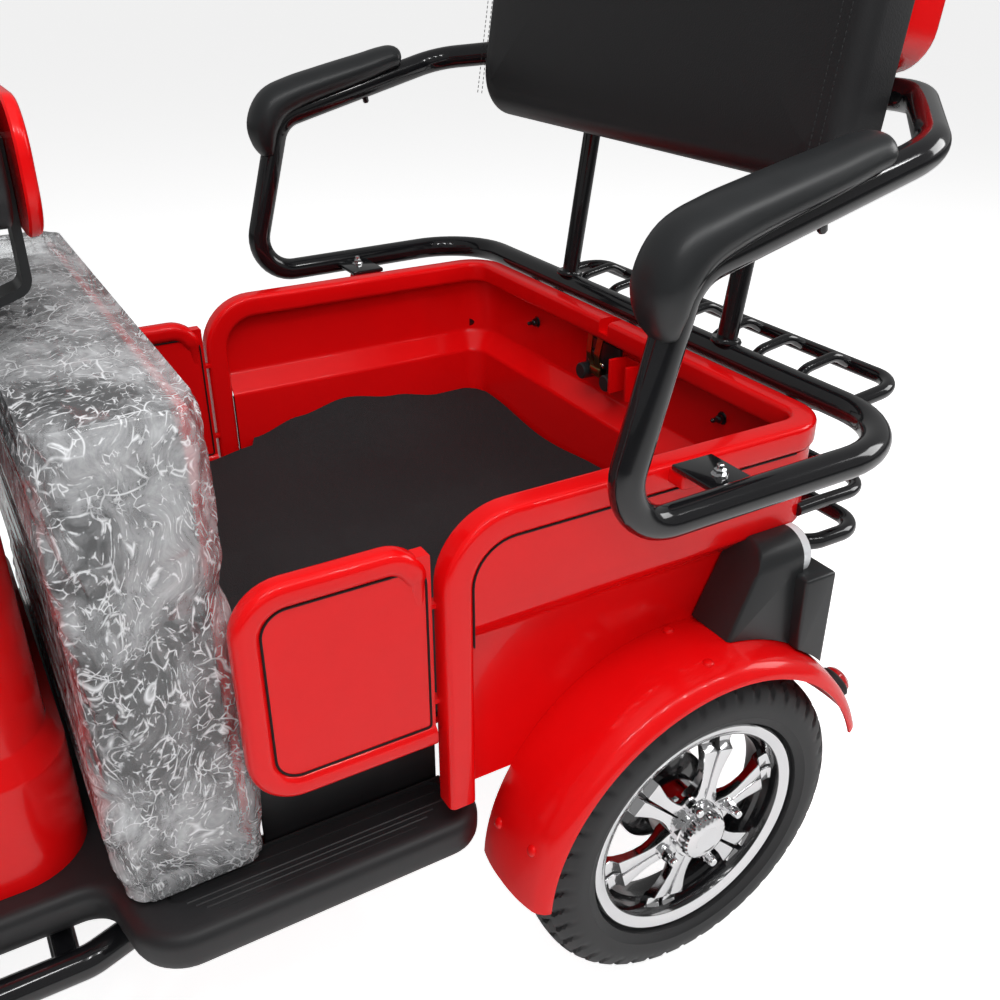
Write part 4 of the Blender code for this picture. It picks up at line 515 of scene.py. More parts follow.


# %% [markdown]
# One line makes each finish, from its colour and its roughness.

# %% The finishes
LOOKS = {
    "red": surface(
        "red_paint", (0.76, 0.003, 0.004), 0.22, 0.03, coat=0.25, tint=0.04, bump=0.05, grain=90.0,
        shine=0.22
    ),
    "tube": surface(
        "black_enamel", (0.006, 0.006, 0.007), 0.13, 0.04, coat=0.5, tint=0.2, bump=0.04, grain=70.0,
        shine=0.4
    ),
    "moulded": surface(
        "moulded_black", (0.013, 0.013, 0.014), 0.46, 0.06, tint=0.15, bump=0.35, grain=900.0,
        depth=0.0003
    ),
    "satin": surface(
        "satin_black", (0.016, 0.017, 0.018), 0.36, 0.05, tint=0.15, bump=0.1, grain=500.0, depth=0.0003
    ),
    "leather": leather("black_leather", (0.013, 0.013, 0.014), 0.42),
    "pad": surface(
        "skinned_foam", (0.014, 0.015, 0.016), 0.34, 0.05, tint=0.15, bump=0.15, grain=700.0, depth=0.0003
    ),
    "mat": surface(
        "ribbed_mat", (0.017, 0.017, 0.018), 0.85, 0.08, tint=0.5, scale=260.0, bump=0.9, grain=620.0,
        depth=0.0015
    ),
    "grip": surface("black_rubber", (0.016, 0.016, 0.016), 0.68, 0.06, tint=0.2, bump=0.2),
    "tyre": surface(
        "tyre_rubber", (0.011, 0.011, 0.012), 0.50, 0.07, tint=0.3, scale=20.0, bump=0.15, grain=350.0
    ),
    "alloy": surface("machined_alloy", (0.80, 0.80, 0.81), 0.12, 0.04, metallic=1.0, tint=0.05),
    "well": surface("painted_barrel", (0.007, 0.007, 0.008), 0.16, 0.05, coat=0.6, tint=0.2),
    "iron": surface("dark_iron", (0.03, 0.03, 0.033), 0.45, 0.1, metallic=0.6, tint=0.2, bump=0.1),
    "brass": surface("passivated_steel", (0.30, 0.20, 0.08), 0.30, 0.08, metallic=1.0, tint=0.3, scale=60.0),
    # painted shade: a near-black finish for the lines drawn in the shadowed gaps at the seams
    "seam": surface("seam_shadow", (0.004, 0.002, 0.002), 0.80, 0.05, tint=0.2),
    "clear": surface("clear_lens", (0.78, 0.80, 0.82), 0.08, 0.02, coat=0.5, tint=0.05),
    "amber": surface("amber_lens", (0.80, 0.50, 0.25), 0.12, 0.03, coat=0.5, tint=0.05),
    "tail": surface("red_lens", (0.50, 0.008, 0.01), 0.10, 0.03, coat=0.8, tint=0.1),
    "film": film("clear_film"),
}
print(len(LOOKS), "finishes")

# %% [markdown]
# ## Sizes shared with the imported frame
# These are the main sizes that the looks below follow, in metres. Each is written once and the
# steps below work from it, so that a change moves everything that touches it.

# %% Sizes
GAP = 0.0003
TYRE_RADIUS, TYRE_WIDTH, RIM_WIDTH = 0.203, 0.085, 0.065
BEAD_RADIUS, FLANGE_RADIUS = 0.128, 0.1405
TRACK_HALF, AXLE_Z = 0.4065, 0.203
TUB_HALF, TUB_REAR, TUB_FRONT, TUB_TOP, TUB_BOTTOM = 0.383, 0.190, -0.285, 0.652, 0.323
TUB_TUBE, TUB_CORNER, SHEET, SWAGE = 0.030, 0.055, 0.004, 0.0265
LOWER_HALF = TUB_HALF - 0.0025 - SWAGE
FLOOR_TOP, TUB_FLOOR, TUB_FLOOR_FRONT = 0.300, 0.406, -0.455
BARREL_FRONT, BARREL_REAR = -0.985, -0.605
SWAGE_LOW, SWAGE_HIGH = 0.508, 0.534
# radius and place of the painted shade lines at the seams
SEAM_SHADE_RADIUS, LOWER_HALF_SEAM = 0.0011, 0.3542
DOOR_LINE, HINGE_HEIGHTS = 0.3575, (0.45, 0.56)
FENDER_RADIUS, LAMP_CREST = 0.2375, 0.508
CASTER = math.radians(24)
STEER_UP = Vector((0, math.sin(CASTER), math.cos(CASTER)))
STEER_AHEAD = Vector((0, -math.cos(CASTER), math.sin(CASTER)))
FRONT_HUB = Vector((0, -1.700, AXLE_Z))
STEER_FOOT = FRONT_HUB - STEER_AHEAD * 0.030


def axis_point(distance, ahead=0.0):
    return STEER_FOOT + STEER_UP * distance + STEER_AHEAD * ahead


# %% [markdown]
# ## The tub
# The pressed walls have one swage all round. A square tube forms the rim and the front posts,
# and a thin dark line of painted shade marks the shadowed gap where the panel meets it.

# %% Tub walls and floor
def tub_plan(half, rear, corner, front, steps=14):
    points = [((half, front), (1.0, 0.0))]
    for side, first in ((1, 0.0), (-1, math.pi / 2)):
        centre = (side * (half - corner), rear - corner)
        for i in range(steps + 1):
            angle = first + (math.pi / 2) * i / steps
            normal = (math.cos(angle), math.sin(angle))
            points.append(((centre[0] + corner * normal[0], centre[1] + corner * normal[1]), normal))
    points.append(((-half, front), (-1.0, 0.0)))
    return points


def tub_walls():
    out = SWAGE
    top = TUB_TOP - TUB_TUBE - GAP
    section = [
        (0.0, TUB_BOTTOM), (0.0, SWAGE_LOW), (out, SWAGE_HIGH), (out, top), (out - SHEET, top),
        (out - SHEET, 0.5356), (-SHEET, 0.5096), (-SHEET, TUB_BOTTOM),
    ]
    bends = [0, 0.012, 0.012, 0, 0, 0.010, 0.010, 0]
    section = flat_fillet(section, bends, 4)
    front, rear = TUB_FRONT + TUB_TUBE + GAP, TUB_REAR - 0.0025 - out
    rings = []
    for (x, y), (nx, ny) in tub_plan(LOWER_HALF, rear, TUB_CORNER - out, front):
        rings.append([(x + nx * offset, y + ny * offset, z) for offset, z in section])
    return skin(rings)


def tub_floor():
    front, rear = TUB_FRONT + TUB_TUBE + GAP, TUB_REAR - 0.0025 - SWAGE
    inner = LOWER_HALF - SHEET * 0.5
    half = [
        (0, TUB_FLOOR_FRONT), (0.339, TUB_FLOOR_FRONT), (0.339, front), (inner, front),
        (inner, rear - 0.002), (0, rear - 0.002)
    ]
    flat = flat_fillet(half, [0, 0.012, 0, 0, 0.0285, 0], 6)
    outline = flat + [(-x, y) for x, y in reversed(flat[1:-1])]
    plate = skin([[(x, y, TUB_FLOOR - SHEET) for x, y in outline], [(x, y, TUB_FLOOR) for x, y in outline]])
    lip = block(
        (-0.300, TUB_FLOOR_FRONT, TUB_FLOOR - 0.030), (0.300, TUB_FLOOR_FRONT + SHEET, TUB_FLOOR - 0.002),
        0.001
    )
    return [plate, lip]


def frame_route(inset=TUB_TUBE / 2, steps=12, foot=TUB_BOTTOM):
    half, front = TUB_HALF - TUB_TUBE / 2, TUB_FRONT + inset
    rear, top = TUB_REAR - inset, TUB_TOP - inset
    corners = [
        (half, front, foot), (half, front, top), (half, rear, top),
        (-half, rear, top), (-half, front, top), (-half, front, foot),
    ]
    bend = 0.075 - inset
    return fillet(corners, [0, bend, 0.040, 0.040, bend, 0], steps)


corner_space = swept(frame_route(), square_section(TUB_TUBE + 2 * GAP, 0.006, 2))
walls = carved(tub_walls(), [corner_space])
piece("tub_walls", "red", "chassis", [walls] + tub_floor(), ["tub_shell"], sharp=40)


# %% [markdown]
# A square tube with round edges runs up the front posts and round the rim. It is one sweep with
# filleted corners, and a Boolean cuts the notch for the catch. Small lugs carry the door pins.

# %% Rim tube, catch notch and arm-rail stubs
def rim_tube():
    rim = swept(frame_route(), square_section(TUB_TUBE, 0.0065, 5))
    notch = block((-0.020, TUB_REAR - 0.040, TUB_TOP - 0.018), (0.0, TUB_REAR - 0.007, TUB_TOP + 0.01))
    stubs = []
    for side in (1, -1):
        x0, x1 = side * (TUB_HALF - 0.002), side * (TUB_HALF + 0.022)
        stubs.append(
            block((min(x0, x1), -0.039, TUB_TOP - 0.019), (max(x0, x1), 0.009, TUB_TOP - 0.003), 0.003)
        )
    lugs = []
    for side in (1, -1):
        for z in HINGE_HEIGHTS:
            reach = arc((side * DOOR_LINE, -0.303), 0.0055, 0, 2 * math.pi, 16)[:-1]
            lugs.append(
                skin([[(x, y, z - 0.0025) for x, y in reach], [(x, y, z + 0.0025) for x, y in reach]])
            )
            lugs.append(
                block(
                    (side * DOOR_LINE - 0.0055, -0.302, z - 0.0025),
                    (side * DOOR_LINE + 0.0055, -0.283, z + 0.0025)
                )
            )
    return [carved(rim, [notch])] + stubs + lugs


piece("rim_tube", "red", "chassis", rim_tube(), ["tub_frame"], sharp=40)


# %% [markdown]
# The shadowed gap between wall and rim is painted as a thin dark line, modelled as a fine tube
# so that the painted shade stays crisp from close by. The catch is built of small blocks, strips
# and pins, then enlarged about its hinge line.

# %% Painted seam shade, wall bolts and the catch
def seam_shade_lines():
    """Painted shade: thin dark lines in the shadowed gaps where the walls meet the rim tube, on both faces of
    the wall.
    """
    lines = []
    middle = TUB_TUBE
    for x in (0.3806, 0.3763):
        for side in (1, -1):
            front, top = TUB_FRONT + middle, TUB_TOP - middle
            route = fillet(
                [(side * x, front, TUB_BOTTOM + 0.19), (side * x, front, top), (side * x, 0.135, top)],
                [0, 0.045, 0], 10
            )
            lines.append(tube(route, 0.0011, sides=8))
    for side in (1, -1):
        foot = (side * LOWER_HALF_SEAM, TUB_FRONT + middle, TUB_BOTTOM)
        head = (side * LOWER_HALF_SEAM, TUB_FRONT + middle, SWAGE_LOW)
        lines.append(tube([foot, head], SEAM_SHADE_RADIUS, sides=8))
    return lines


def wall_bolts():
    shapes = []
    for x in (-0.212, 0.212):
        face = TUB_REAR - 0.0025 - SHEET
        centre = Vector((x, face, 0.589))
        shapes.append(pin(centre, centre - Vector((0, 0.002, 0)), 0.0085))
        shapes.append(
            lathe([(0, 0.006), (0.006, 0.006), (0.009, 0.0045), (0.0105, 0.002)], centre, (0, -1, 0), 6)
        )
        shapes.append(lathe([(0.006, 0.003), (0.016, 0.003), (0.018, 0.0015)], centre, (0, -1, 0), 12))
    return shapes


# painted shade: dark lines standing for the shadow in the gaps round the tub walls
piece("panel_seam_shade", "seam", "chassis", seam_shade_lines())
piece("wall_bolts", "tube", "chassis", wall_bolts())


def catch():
    """The spring catch in the notch: a back plate, a forked tongue and two round ends."""
    back = TUB_REAR - 0.0025 - SHEET - GAP
    top = TUB_TOP - TUB_TUBE
    dark = [block((-0.036, back - 0.004, top - 0.052), (0.014, back, top - 0.010), 0.0012)]
    for x in (-0.032, 0.010):
        dark.append(pin((x, back - 0.020, top - 0.044), (x, back - 0.003, top - 0.044), 0.0085))
        dark.append(
            block((x - 0.008, back - 0.008, top - 0.040), (x + 0.008, back - 0.002, top - 0.022), 0.002)
        )
    bright = []
    for x, lean in ((-0.020, -0.002), (-0.006, 0.002)):
        route = fillet(
            [
                (x - lean * 2, back - 0.010, top - 0.046), (x, back - 0.018, top - 0.020),
                (x + lean, back - 0.014, top + 0.004)
            ],
            0.01, 6
        )
        bright.append(
            swept(route, [(0.0045, 0.0008), (-0.0045, 0.0008), (-0.0045, -0.0008), (0.0045, -0.0008)])
        )
    bright.append(block((-0.022, back - 0.016, top - 0.044), (-0.004, back - 0.006, top - 0.034), 0.002))
    pins = [pin((-0.026, back - 0.013, top - 0.030), (0.000, back - 0.013, top - 0.030), 0.0022)]
    guard = []
    for x in (0.0215, 0.0485):
        guard.append(block((x - 0.002, back - 0.022, top - 0.050), (x + 0.002, back, top - 0.014), 0.001))
    guard.append(block((0.0195, back - 0.003, top - 0.050), (0.0505, back, top - 0.014), 0.001))
    return dark, bright, pins, guard


hinge_line = Vector((0, TUB_REAR - 0.0025 - SHEET - GAP, TUB_TOP - TUB_TUBE - 0.012))
larger = Matrix.Translation(
    hinge_line + Vector((-0.012, 0, 0))
) @ Matrix.Scale(1.35, 4) @ Matrix.Translation(-hinge_line)
dark, bright, pins, guard = [[moved(shape, larger) for shape in group] for group in catch()]
piece("catch_plate", "satin", "chassis", dark, ["tub_latch"])
piece("catch_tongue", "brass", "chassis", bright)
piece("catch_pin", "alloy", "chassis", pins)
piece("catch_guard", "red", "chassis", guard)
print("tub done")

# %% [markdown]
# ## The mat
# The mat lies loose: its far edge rides up the wall in a slow wave, and its other edges stop
# short of the walls.

# %% Floor mat
def mat_height(x, y):
    """How far the mat lifts off the floor."""
    far = max(0.0, min(1.0, (-x - 0.215) / 0.1325))
    back = max(0.0, min(1.0, (y - 0.045) / 0.106))
    knots = (
        (-0.455, 0.0), (-0.320, 0.010), (-0.233, 0.026), (-0.160, 0.045), (-0.084, 0.060), (0.0, 0.047),
        (0.080, 0.033), (0.160, 0.034)
    )
    rise = 0.0
    for (y0, z0), (y1, z1) in zip(knots, knots[1:]):
        if y0 <= y <= y1:
            share = (y - y0) / (y1 - y0)
            rise = z0 + (z1 - z0) * share * share * (3 - 2 * share)
    return far**2.2 * rise + (1 - far**2.2) * back**2 * 0.026 * (1 + 0.25 * math.sin(x * 19.0 + 1.0))


def mat():
    rear, front = 0.151, TUB_FLOOR_FRONT + 0.002
    steps_x, steps_y = 90, 80
    upper, under = [], []
    for j in range(steps_y + 1):
        y = front + (rear - front) * j / steps_y
        inside = y > TUB_FRONT + TUB_TUBE + 0.02
        half = 0.3475 if inside else 0.3345
        if y > rear - 0.03:
            half -= 0.03 - math.sqrt(max(0.0, 0.03**2 - (y - rear + 0.03) ** 2))
        row_up, row_low = [], []
        for i in range(steps_x + 1):
            x = -half + 2 * half * i / steps_x
            z = TUB_FLOOR + GAP + mat_height(x, y)
            z += 0.0008 * noise.noise(Vector((x * 14, y * 14, 0)))
            row_up.append((x, y, z + 0.006))
            row_low.append((x, y, max(z, TUB_FLOOR + GAP)))
        upper.append(row_up)
        under.append(row_low)
    rings = [up + low[::-1] for up, low in zip(upper, under)]
    return skin(rings)


piece("mat", "mat", "chassis", [mat()], ["floor_mat"], sharp=50)

# %% [markdown]
# ## Side doors
# Each door is a bent tube with a panel set in on both faces. At the hinge edge the tube turns
# down beside the post and thins out, and two slots in the panel leave room for the post's lugs.
# The tube could be a curve with a bevel. A swept section is used so that its end can taper.

# %% Doors
def door_parts():
    outer, width = 0.370, 0.025
    rear, half = -0.303, 0.0125
    front = rear - 0.185 + half
    low, top = 0.400, 0.631
    bend = 0.050 - half
    edge = rear + half
    corners = [
        (DOOR_LINE, edge, low + half), (DOOR_LINE, front + half, low + half),
        (DOOR_LINE, front + half, top - half), (DOOR_LINE, edge, top - half)
    ]
    turned_down = corners[:3] + [
        (DOOR_LINE, edge - 0.014, top - half), (DOOR_LINE, edge - 0.0115, top - half - 0.060)
    ]
    route = fillet(turned_down, [0, bend, bend, 0.034, 0], 10)
    ends = [1.0] * (len(route) - 4) + [0.97, 0.88, 0.74, 0.60]
    loop = swept(route, square_section(width, 0.009, 5), scale=ends)
    slots = []
    for z in HINGE_HEIGHTS:
        slots.append(block((0.3508, rear - 0.0075, z - 0.006), (0.3642, rear + 0.03, z + 0.006)))
    inset = 0.0045
    plan = fillet(corners, [0.002, bend, bend, 0.002], 8, closed=True)
    rings = [[(outer - width + inset, p.y, p.z) for p in plan], [(outer - inset, p.y, p.z) for p in plan]]
    panel = carved(skin(rings), slots)
    # Painted shade: thin dark lines along the gap between tube and panel, on both faces, stand for the shadow
    # in that gap.
    seam_shade_corners = [
        (0, edge - 0.005, low + 2 * half), (0, front + 2 * half, low + 2 * half),
        (0, front + 2 * half, top - 2 * half), (0, edge - 0.005, top - 2 * half),
    ]
    inner = fillet(seam_shade_corners, [0.004, bend - half, bend - half, 0.016], 10, closed=True)
    lines = []
    for x in (outer - inset + 0.0004, outer - width + inset - 0.0004):
        lines.append(tube([(x, p.y, p.z) for p in inner], 0.0012, closed=True, sides=8))
    pins = []
    for z in HINGE_HEIGHTS:
        pins.append(pin((DOOR_LINE, rear, z - 0.010), (DOOR_LINE, rear, z + 0.010), 0.003, 0.0005, 12))
    return [loop, panel], lines, pins


for side, body, node in ((1, "left_door", "door_left"), (-1, "right_door", "door_right")):
    leaf, lines, pins = door_parts()
    if side < 0:
        leaf, lines, pins = [[mirrored(shape) for shape in group] for group in (leaf, lines, pins)]
    piece(node + "_leaf", "red", body, leaf, [node], sharp=40)
    # painted shade lines in the door's gaps
    piece(node + "_seam", "seam", body, lines)
    piece(node + "_pins", "iron", body, pins)
print("doors done")

# %% [markdown]
# ## Rest frame and arm pads
# One bent tube runs round the passenger seat, low behind the tub and high behind the backrest.
# The pads wrap its upper bends from above.

# %% Rest frame
ARM_HALF, ARM_RADIUS, ARM_LOW, ARM_REAR, POST_HALF = 0.468, 0.016, 0.655, 0.211, 0.172
LEAN = math.radians(8.6)


def back_point(height):
    return Vector((0, ARM_REAR + (height - ARM_LOW) * math.tan(LEAN), height))


def arm_corners():
    high_rear = back_point(0.962).y + 0.010 + ARM_RADIUS
    return [
        (ARM_HALF, ARM_REAR, ARM_LOW),
        (ARM_HALF, -0.172, ARM_LOW - 0.006),
        (ARM_HALF, -0.109, 0.872),
        (ARM_HALF, high_rear - 0.130, 0.942),
        (ARM_HALF - 0.130, high_rear, 0.962),
    ]


def arm_route(steps=12):
    left = arm_corners()
    right = [(-x, y, z) for x, y, z in reversed(left)]
    bends = [0.100, 0.050, 0.045, 0.080, 0.060]
    corners = [(0, ARM_REAR, ARM_LOW)] + left + [(0, left[-1][1], left[-1][2])] + right
    return fillet(corners, [0] + bends + [0] + bends[::-1], steps, closed=True)


def rest_frame():
    shapes = [tube(arm_route(), ARM_RADIUS, closed=True, sides=32)]
    for side in (1, -1):
        foot, head = back_point(ARM_LOW), back_point(1.150)
        foot.x = head.x = side * POST_HALF
        shapes.append(swept([foot, head], circle(0.015, 24, 0.67)))
        collar = [(0, 0.019), (0.003, 0.0195), (0.006, 0.0175)]
        shapes.append(lathe(collar, foot + Vector((0, 0.001, 0.0135)), head - foot, 24))
        x0, x1 = side * (TUB_HALF + 0.004), side * (ARM_HALF - 0.004)
        shapes.append(
            block(
                (min(x0, x1), -0.040, TUB_TOP - 0.003 + GAP), (max(x0, x1), 0.010, TUB_TOP + 0.003),
                0.0015
            )
        )
        knob = Vector((side * ARM_HALF, 0.030, 0.896))
        shapes.append(lathe([(0, 0.0045), (0.009, 0.0045), (0.011, 0.003)], knob, (0, 0.2, -1), 12))
    return shapes


def clamp_bolts():
    shapes = []
    for side in (1, -1):
        foot = Vector((side * 0.428, -0.015, TUB_TOP + 0.003))
        shapes.append(lathe([(0, 0.0085), (0.0015, 0.0085), (0.002, 0.0078)], foot, (0, 0, 1), 24))
        shapes.append(lathe([(0.0015, 0.0060), (0.006, 0.0060), (0.0075, 0.0048)], foot, (0, 0, 1), 6))
        shapes.append(lathe([(0.007, 0.0035), (0.011, 0.0035), (0.012, 0.0025)], foot, (0, 0, 1), 16))
    return shapes


piece("rest_tubes", "tube", "chassis", rest_frame(), ["rest_frame"], sharp=45)
piece("clamp_bolts", "alloy", "chassis", clamp_bolts(), sharp=30)


# %% [markdown]
# A pad is foam with a skin: thick over the bend of the rail and thin at its tail. Its height and
# width are given at a few places along a smooth spine and read off between them, which is easier
# to shape than a box with a subdivision surface.

# %% Arm pads
def smooth_path(points, count):
    """Points at even steps along a smooth curve through the given ones."""
    points = [Vector(p) for p in points]
    knots = [points[0] * 2 - points[1]] + points + [points[-1] * 2 - points[-2]]
    result = []
    for i in range(count):
        where = i / (count - 1) * (len(points) - 1)
        k = min(int(where), len(points) - 2)
        t = where - k
        a, b, c, d = knots[k : k + 4]
        result.append(
            0.5 * (
                2 * b + (c - a) * t + (2 * a - 5 * b + 4 * c - d) * t * t + (3 * b - a - 3 * c + d) * t**3
            )
        )
    return result


def smooth_values(values, count):
    return [p.x for p in smooth_path([(v, 0, 0) for v in values], count)]


def arm_pad():
    """A long moulded pad: its nose drops down the front strut and its tail thins to a lip."""
    spine = [
        (-0.128, 0.824), (-0.132, 0.842), (-0.130, 0.866), (-0.113, 0.891), (-0.082, 0.905),
        (-0.043, 0.916), (-0.003, 0.926), (0.032, 0.935), (0.060, 0.943), (0.080, 0.947), (0.088, 0.947),
    ]
    half_height = [0.010, 0.018, 0.024, 0.026, 0.0245, 0.0230, 0.0220, 0.0205, 0.0190, 0.0165, 0.006]
    half_width = [0.016, 0.026, 0.031, 0.032, 0.031, 0.030, 0.029, 0.0275, 0.0260, 0.0235, 0.012]
    count, sides = 60, 36
    route = smooth_path([(ARM_HALF, y, z) for y, z in spine], count)
    tall, wide = smooth_values(half_height, count), smooth_values(half_width, count)
    rings = []
    for i, point in enumerate(route):
        ahead = route[min(i + 1, count - 1)] - route[max(i - 1, 0)]
        up = Vector((0, -ahead.z, ahead.y)).normalized()
        ring = []
        for k in range(sides):
            angle = 2 * math.pi * k / sides
            across, rise = math.cos(angle), math.sin(angle)
            across = math.copysign(abs(across) ** 0.85, across)
            flat = 1.0 if rise > 0 else 0.80
            ring.append(point + Vector((wide[i] * across, 0, 0)) + up * (tall[i] * rise * flat))
        rings.append(ring)
    return skin(rings)


def pad_part_line(side):
    """The mould's parting ridge along the outer flank of a pad."""
    spine = [
        (-0.132, 0.842), (-0.127, 0.864), (-0.108, 0.882), (-0.080, 0.895), (-0.043, 0.907),
        (-0.003, 0.918), (0.032, 0.928), (0.060, 0.937)
    ]
    lean = [0.0245, 0.0295, 0.0305, 0.0300, 0.0290, 0.0270, 0.0248, 0.0222]
    points = [(side * (ARM_HALF + w), y, z) for (y, z), w in zip(spine, lean)]
    return tube(smooth_path(points, 40), 0.0007, sides=6)


for side, name in ((1, "left"), (-1, "right")):
    pad = arm_pad()
    if side < 0:
        pad = mirrored(pad)
    item = piece(
        "pad_" + name, "pad", "chassis", [pad, pad_part_line(side), pad_part_line(side)],
        ["arm_pad_" + name], sharp=70
    )
print("rest frame and pads done")

# %% [markdown]
# ## Backrest
# A padded board leans back with its posts. Two rows of stitches run down near each end, and
# a pressed red cover closes the back.

# %% Backrest cushion
BACK_HALF, BACK_LOW, BACK_HEIGHT, BACK_THICK, BACK_CORNER = 0.350, 0.870, 0.330, 0.068, 0.064


def lean_matrix():
    foot = back_point(BACK_LOW)
    return Matrix.Translation(foot) @ Matrix.Rotation(-LEAN, 4, "X") @ Matrix.Translation(-foot)


def cushion_shape(half, low, high, front, rear, corner, round_over, crown, steps=16, seams=()):
    """An upright pad facing -Y: rolled edges, then a crowned face with grooves at the seams."""
    rings = []
    middle, half_z = (low + high) / 2, (high - low) / 2
    for i in range(7):
        angle = math.pi / 2 * i / 6
        inset, y = 0.006 * (1 - math.sin(angle)), rear - 0.006 * (1 - math.cos(angle))
        rings.append((inset, y))
    for i in range(13):
        angle = math.pi / 2 * i / 12
        rings.append((round_over * (1 - math.cos(angle)), front + round_over * (1 - math.sin(angle))))
    steps_in = 26
    last = round_over
    for i in range(1, steps_in + 1):
        share = i / steps_in
        rings.append((last + (min(half, half_z) - last) * share * 0.985, None))
    shape_rings = []
    for inset, y in rings:
        ring = []
        bend = max(corner - inset, corner * 0.25 * max(0.05, 1 - inset / half_z))
        plan = ring_plan(
            half - inset, -(half_z - inset), half_z - inset, min(bend, half_z - inset - 0.0005), steps
        )
        for (x, z), _ in plan:
            depth_here = y
            if y is None:
                edge = min(half - abs(x), half_z - abs(z))
                swell = 1 - math.exp(-max(edge - last, 0) / 0.035)
                depth_here = front - crown * swell
                for seam in seams:
                    depth_here += 0.0028 * math.exp(-(((abs(x) - seam) / 0.0035) ** 2))
                depth_here += 0.0012 * noise.noise(Vector((x * 6, z * 6, 2)))
            ring.append((x, depth_here, middle + z))
        shape_rings.append(ring)
    return skin(shape_rings)


face = back_point(BACK_LOW).y - 0.029 - GAP
seam_x = 0.329
back_cushion = cushion_shape(
    BACK_HALF, BACK_LOW, BACK_LOW + BACK_HEIGHT, face - BACK_THICK + 0.007, face, BACK_CORNER, 0.024,
    0.006, seams=(seam_x,)
)
cushion = piece(
    "backrest_pad", "leather", "chassis", [moved(back_cushion, lean_matrix())], ["backrest_cushion"],
    sharp=70
)


def stitches(rows, low, high, y, length=0.0042, pitch=0.0062):
    shapes = []
    for x in rows:
        z = low
        while z < high:
            shapes.append(
                lathe(
                    [(0, 0.0002), (0.0006, 0.00055), (length - 0.0006, 0.00055), (length, 0.0002)],
                    (x, y, z), (0, 0, 1), 6
                )
            )
            z += pitch
    return shapes


thread = stitches(
    [s * (seam_x + d) for s in (1, -1) for d in (-0.006, 0.006)], BACK_LOW + 0.022,
    BACK_LOW + BACK_HEIGHT - 0.022, face - BACK_THICK + 0.0005
)
piece("backrest_stitches", "satin", "chassis", [moved(shape, lean_matrix()) for shape in thread])

# %% [markdown]
# The cover is a tray pressed from sheet. Rings from the outer face round to the inner one give
# it real thickness at its rim.

# %% Backrest cover
def cover_shape(half, low, high, front, depth, corner, wall):
    """A pressed tray, open towards -Y."""
    middle, half_z = (low + high) / 2, (high - low) / 2
    rings = []
    profile = [(0.0, 0.0), (0.0, depth - 0.012)]
    profile += [
        (0.012 * (1 - math.cos(a)), depth - 0.012 + 0.012 * math.sin(a)) for a in (0.4, 0.8, 1.2, 1.57)
    ]
    profile += [(0.040, depth), (0.060, depth - 0.003), (half_z - 0.002, depth - 0.003)]
    inner = [(inset + wall, max(y - wall, 0.0)) for inset, y in reversed(profile[:-1])]
    for inset, y in profile + [(half_z - 0.002, depth - 0.003 - wall)] + inner + [(wall, 0.0)]:
        inset = min(inset, half_z - 0.002)
        plan = ring_plan(
            half - inset, -(half_z - inset), half_z - inset,
            max(min(corner - inset, half_z - inset - 0.0005), 0.001), 8
        )
        rings.append([(x, front + y, middle + z) for (x, z), _ in plan])
    return skin(rings, closed_route=True)


cover = cover_shape(0.335, 0.985, BACK_LOW + BACK_HEIGHT - 0.006, face + 0.0006, 0.064, 0.045, 0.003)
piece("backrest_cover", "red", "chassis", [moved(cover, lean_matrix())], ["backrest_shell"], sharp=45)
print("backrest done")

# %% [markdown]
# ## Rear rack and guard
# Arched bars cross a tube loop behind the tub, and two thin guard bars hang below it.

# %% Rack
def rack():
    z = 0.632
    loop = fillet(
        [(0.315, 0.258, z - 0.012), (0.315, 0.365, z), (-0.315, 0.365, z), (-0.315, 0.258, z - 0.012)],
        0.035, 8, closed=True
    )
    shapes = [tube(loop, 0.009, closed=True, sides=18)]
    for i in range(1, 8):
        x = 0.315 * (2 * i / 8 - 1)
        low = z - 0.012
        route = fillet(
            [(x, 0.258, low), (x, 0.288, low + 0.021), (x, 0.335, low + 0.029), (x, 0.365, low + 0.012)],
            0.03, 8
        )
        shapes.append(tube(route, 0.0065, sides=14))
    half = 0.375
    for height, radius, end_x, end_y in ((0.548, 0.0075, 0.3765, 0.1524), (0.495, 0.0095, 0.3453, 0.1523)):
        left = [(end_x, end_y, height), (half, 0.190, height), (half, 0.265, height)]
        bar = fillet(left + [(-x, y, z) for x, y, z in reversed(left)], 0.035, 10)
        shapes.append(tube(bar, radius, sides=18))
    for side in (1, -1):
        x = side * POST_HALF
        shapes.append(block((x - 0.010, 0.2615, 0.478), (x + 0.010, 0.2675, 0.624), 0.0015))
        shapes.append(tube([(x, 0.1613, 0.495), (x, 0.265, 0.495)], 0.0083, sides=14))
    return shapes


piece("rack_bars", "tube", "chassis", rack(), ["rear_rack"], sharp=45)

# %% [markdown]
# ## Rear fenders and lamps
# The fender's skin is rolled outwards at its lip. The lamp housing stands on its crown, cut to
# the tub's swage on one side and to the fender's curve below.

# %% Fenders
def fender(inner, outer, radius, crown, lip, overhang, wall, first, last, centre, steps=72):
    width = outer - inner
    ring = []
    for i in range(17):
        share = i / 16
        ring.append((inner + width * share, radius - crown * (2 * abs(share - 0.47)) ** 2.4))
    end_x, end_r = ring[-1]
    for i in range(1, 9):
        share = i / 8
        ring.append(
            (end_x + overhang * math.sin(share * math.pi / 2), end_r - (lip - crown * 1.2) * share**1.25)
        )
    under = []
    for i, (x, r) in enumerate(ring):
        before, after = ring[max(i - 1, 0)], ring[min(i + 1, len(ring) - 1)]
        dx, dr = after[0] - before[0], after[1] - before[1]
        size = math.hypot(dx, dr)
        under.append((x + wall * dr / size, r - wall * dx / size))
    return turned(ring + under[::-1], steps, centre, first, last)


